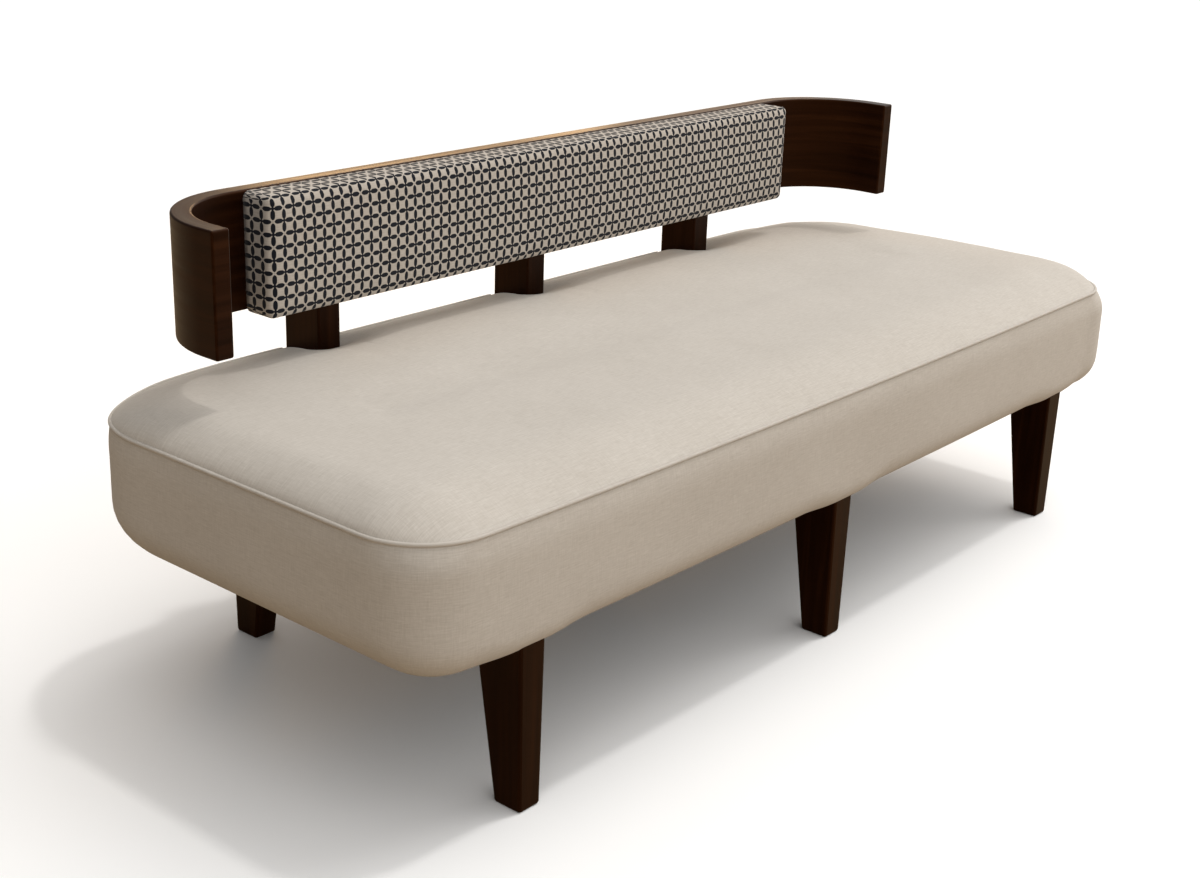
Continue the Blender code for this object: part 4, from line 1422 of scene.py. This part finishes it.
@dataclass(frozen=True)
class Panel:
    """A lit panel that the camera doesn't see: its place, what it faces, its size, power and colour."""

    name: str
    place: Triple
    aim: Triple
    size: tuple[float, float]
    power: float
    colour: Colour

    def add(self) -> None:
        """Add the light."""
        data = bpy.data.lights.new(self.name, "AREA")
        data.shape = "RECTANGLE"
        data.size, data.size_y = self.size
        data.energy = self.power
        data.color = self.colour
        item = bpy.data.objects.new(self.name, data)
        item.visible_camera = False
        item.location = self.place
        item.rotation_euler = (Vector(self.place) - Vector(self.aim)).to_track_quat("Z", "Y").to_euler()
        bpy.context.scene.collection.objects.link(item)


SKY_WHITE = (1.0, 0.985, 0.965)
WARM = (1.0, 0.62, 0.28)


@dataclass
class Studio:
    """The camera, the pale floor and the soft light, with warm panels behind the band for its top to mirror."""

    eye: Triple = (-2.2216, -1.7207, 1.2577)
    bearing: float = 50.1079
    dip: float = 19.9384
    roll: float = 2.0728
    lens: float = 51.878
    sensor: float = 36.0
    sky_low: float = 0.12
    sky_high: float = 1.16
    sky_range: tuple[float, float] = (-0.4, 0.55)
    sky_towards: Triple = (0.47, -0.70, 0.54)
    backdrop: float = 1.06
    floor_half: float = 30.0
    floor_cells: int = 4
    floor_colour: Colour = (0.95, 0.95, 0.95)
    floor_shade: float = 0.985
    floor_cloud: float = 1.5
    floor_bounce: Colour = (0.38, 0.28, 0.17)
    lights: tuple[Union[Sun, Panel], ...] = (
        Sun("key", (0.46, -0.06, 0.88), 0.50, 36.0, (1.0, 0.99, 0.97)),
        Sun("lamp", (0.30, -0.10, 0.95), 0.54, 4.0, (1.0, 0.98, 0.95)),
        Panel("warm_wall_left", (1.50, 2.15, 1.27), (-0.4, 0.30, 0.72), (1.1, 0.4), 9.0, WARM),
        Panel("warm_wall_right", (2.90, 2.15, 1.27), (0.4, 0.30, 0.72), (0.9, 0.4), 3.0, WARM),
        Panel("warm_wall_end", (0.55, 2.15, 1.27), (-0.8, 0.15, 0.72), (0.8, 0.4), 0.5, WARM),
        Panel("fill_right", (2.30, -0.90, 1.75), (0.7, 0.0, 0.42), (1.4, 1.2), 9.0, SKY_WHITE))

    def camera(self) -> None:
        """Set the camera at the viewing angle."""
        bearing, dip, roll = (math.radians(value) for value in (self.bearing, self.dip, self.roll))
        look = Vector((math.sin(bearing) * math.cos(dip), math.cos(bearing) * math.cos(dip), -math.sin(dip)))
        right = Vector((math.cos(bearing), -math.sin(bearing), 0))
        up = right.cross(look)
        across = right * math.cos(roll) + up * math.sin(roll)
        upward = up * math.cos(roll) - right * math.sin(roll)
        data = bpy.data.cameras.new("camera")
        data.lens = self.lens
        data.sensor_width = self.sensor
        data.sensor_fit = "HORIZONTAL"
        item = bpy.data.objects.new("camera", data)
        turn = Matrix((across, upward, -look)).transposed().to_4x4()
        item.matrix_world = Matrix.Translation(self.eye) @ turn
        bpy.context.scene.collection.objects.link(item)
        bpy.context.scene.camera = item

    def floor(self) -> None:
        """Lay the floor, which looks pale and throws back warmer, dimmer light."""
        bm = bmesh.new()
        cells = self.floor_cells
        bmesh.ops.create_grid(bm, x_segments=cells, y_segments=cells, size=self.floor_half)
        shader = Shader("pale_floor")
        cloud = shader.streaks(shader.place("Object"), (self.floor_cloud,) * 3, detail=2.0)
        shade = tuple(self.floor_shade * part for part in self.floor_colour)
        seen = shader.ramp(cloud, ((0.3, shade), (0.7, self.floor_colour)))
        direct = shader.node("ShaderNodeLightPath").outputs["Is Camera Ray"]
        shader.set(Base_Color=shader.blend(direct, self.floor_bounce, seen))
        shader.set(Roughness=0.9, Specular_IOR_Level=0.1)
        add_piece("floor", new_mesh("floor", bm), shader.material)

    def sky(self) -> None:
        """Add a soft sky that is brighter towards the front right, and looks plain and pale itself."""
        world = bpy.data.worlds.new("soft_sky")
        world.use_nodes = True
        tree = NodeTree(world.node_tree)
        place = tree.node("ShaderNodeTexCoord").outputs["Generated"]
        towards = Vector(self.sky_towards).normalized()
        facing = tree.node("ShaderNodeVectorMath", {0: place, 1: towards}, operation="DOT_PRODUCT")
        ends = dict(enumerate((*self.sky_range, self.sky_low, self.sky_high), 1))
        level = tree.node("ShaderNodeMapRange", {0: facing.outputs["Value"], **ends})
        direct = tree.node("ShaderNodeLightPath").outputs["Is Camera Ray"]
        seen = tree.node("ShaderNodeMix", {"Factor": direct, "A": level.outputs[0], "B": self.backdrop})
        background = world.node_tree.nodes["Background"].inputs
        tree.feed(background["Color"], (*SKY_WHITE, 1.0))
        tree.feed(background["Strength"], seen.outputs[0])
        bpy.context.scene.world = world

    def build(self) -> None:
        """Set up the whole studio."""
        self.camera()
        self.floor()
        bpy.context.scene.view_settings.view_transform = "Standard"
        self.sky()
        for light in self.lights:
            light.add()


@dataclass
class Bench:
    """The whole bench: the solids that stay, and the pieces that stand for the soft ones."""

    seat: Seat
    piping: Piping
    pad: BackPad
    band: BackBand
    dust: DustCloth

    def dress_solids(self, finishes: Finishes) -> None:
        """Give each solid that has a finish of its own that finish."""
        by_slot = {Slot.WALNUT: finishes.walnut, Slot.BEECH: finishes.beech, Slot.WEBBING: finishes.webbing,
                   Slot.STEEL: finishes.steel, Slot.CAMBRIC: finishes.cambric, Slot.LINEN: finishes.linen}
        by_word = {slot.value: finish for slot, finish in by_slot.items()}
        for part in frame["record"]["subparts"]:
            finish = by_word.get(part["material_slot"])
            node = frame["nodes"][part["node"]]
            if finish is None:
                continue
            if not node.material_slots:
                node.data.materials.append(finish)
            for place in node.material_slots:
                place.material = finish

    def build(self, finishes: Finishes) -> None:
        """Make every piece and set it on the bench.

        Args:
            finishes: The bench's finishes.
        """
        self.dress_solids(finishes)
        runs = ("front", "rear_left", "rear_right")
        cushion = self.seat.build(finishes.linen)
        covered = ["seat_top_cover", "seat_foam"]
        covered += ["seat_boxing_" + run for run in runs] + ["edge_padding_" + run for run in runs]
        settle(cushion, covered)
        cord = self.piping.build(self.seat, finishes.linen)
        settle(cord, ["piping_" + run for run in runs])
        pad = self.pad.build(finishes.lattice)
        settle(pad, ["pad_cover", "pad_foam"])
        band = self.band.build(finishes.bent_walnut)
        settle(band, ["back_band"])
        cloth, area, flat = self.dust.build(self.seat, finishes.cambric)
        settle(cloth, ["dust_cover"])
        staples = self.dust.staples(self.seat, finishes.steel)
        settle(staples)


def main() -> None:
    """Build the studio and the bench."""
    logging.basicConfig(level=logging.INFO, format="%(name)s: %(message)s")
    Studio().build()
    bench = Bench(Seat(), Piping(), BackPad(), BackBand(), DustCloth())
    bench.build(Finishes())


if __name__ == "__main__":
    main()
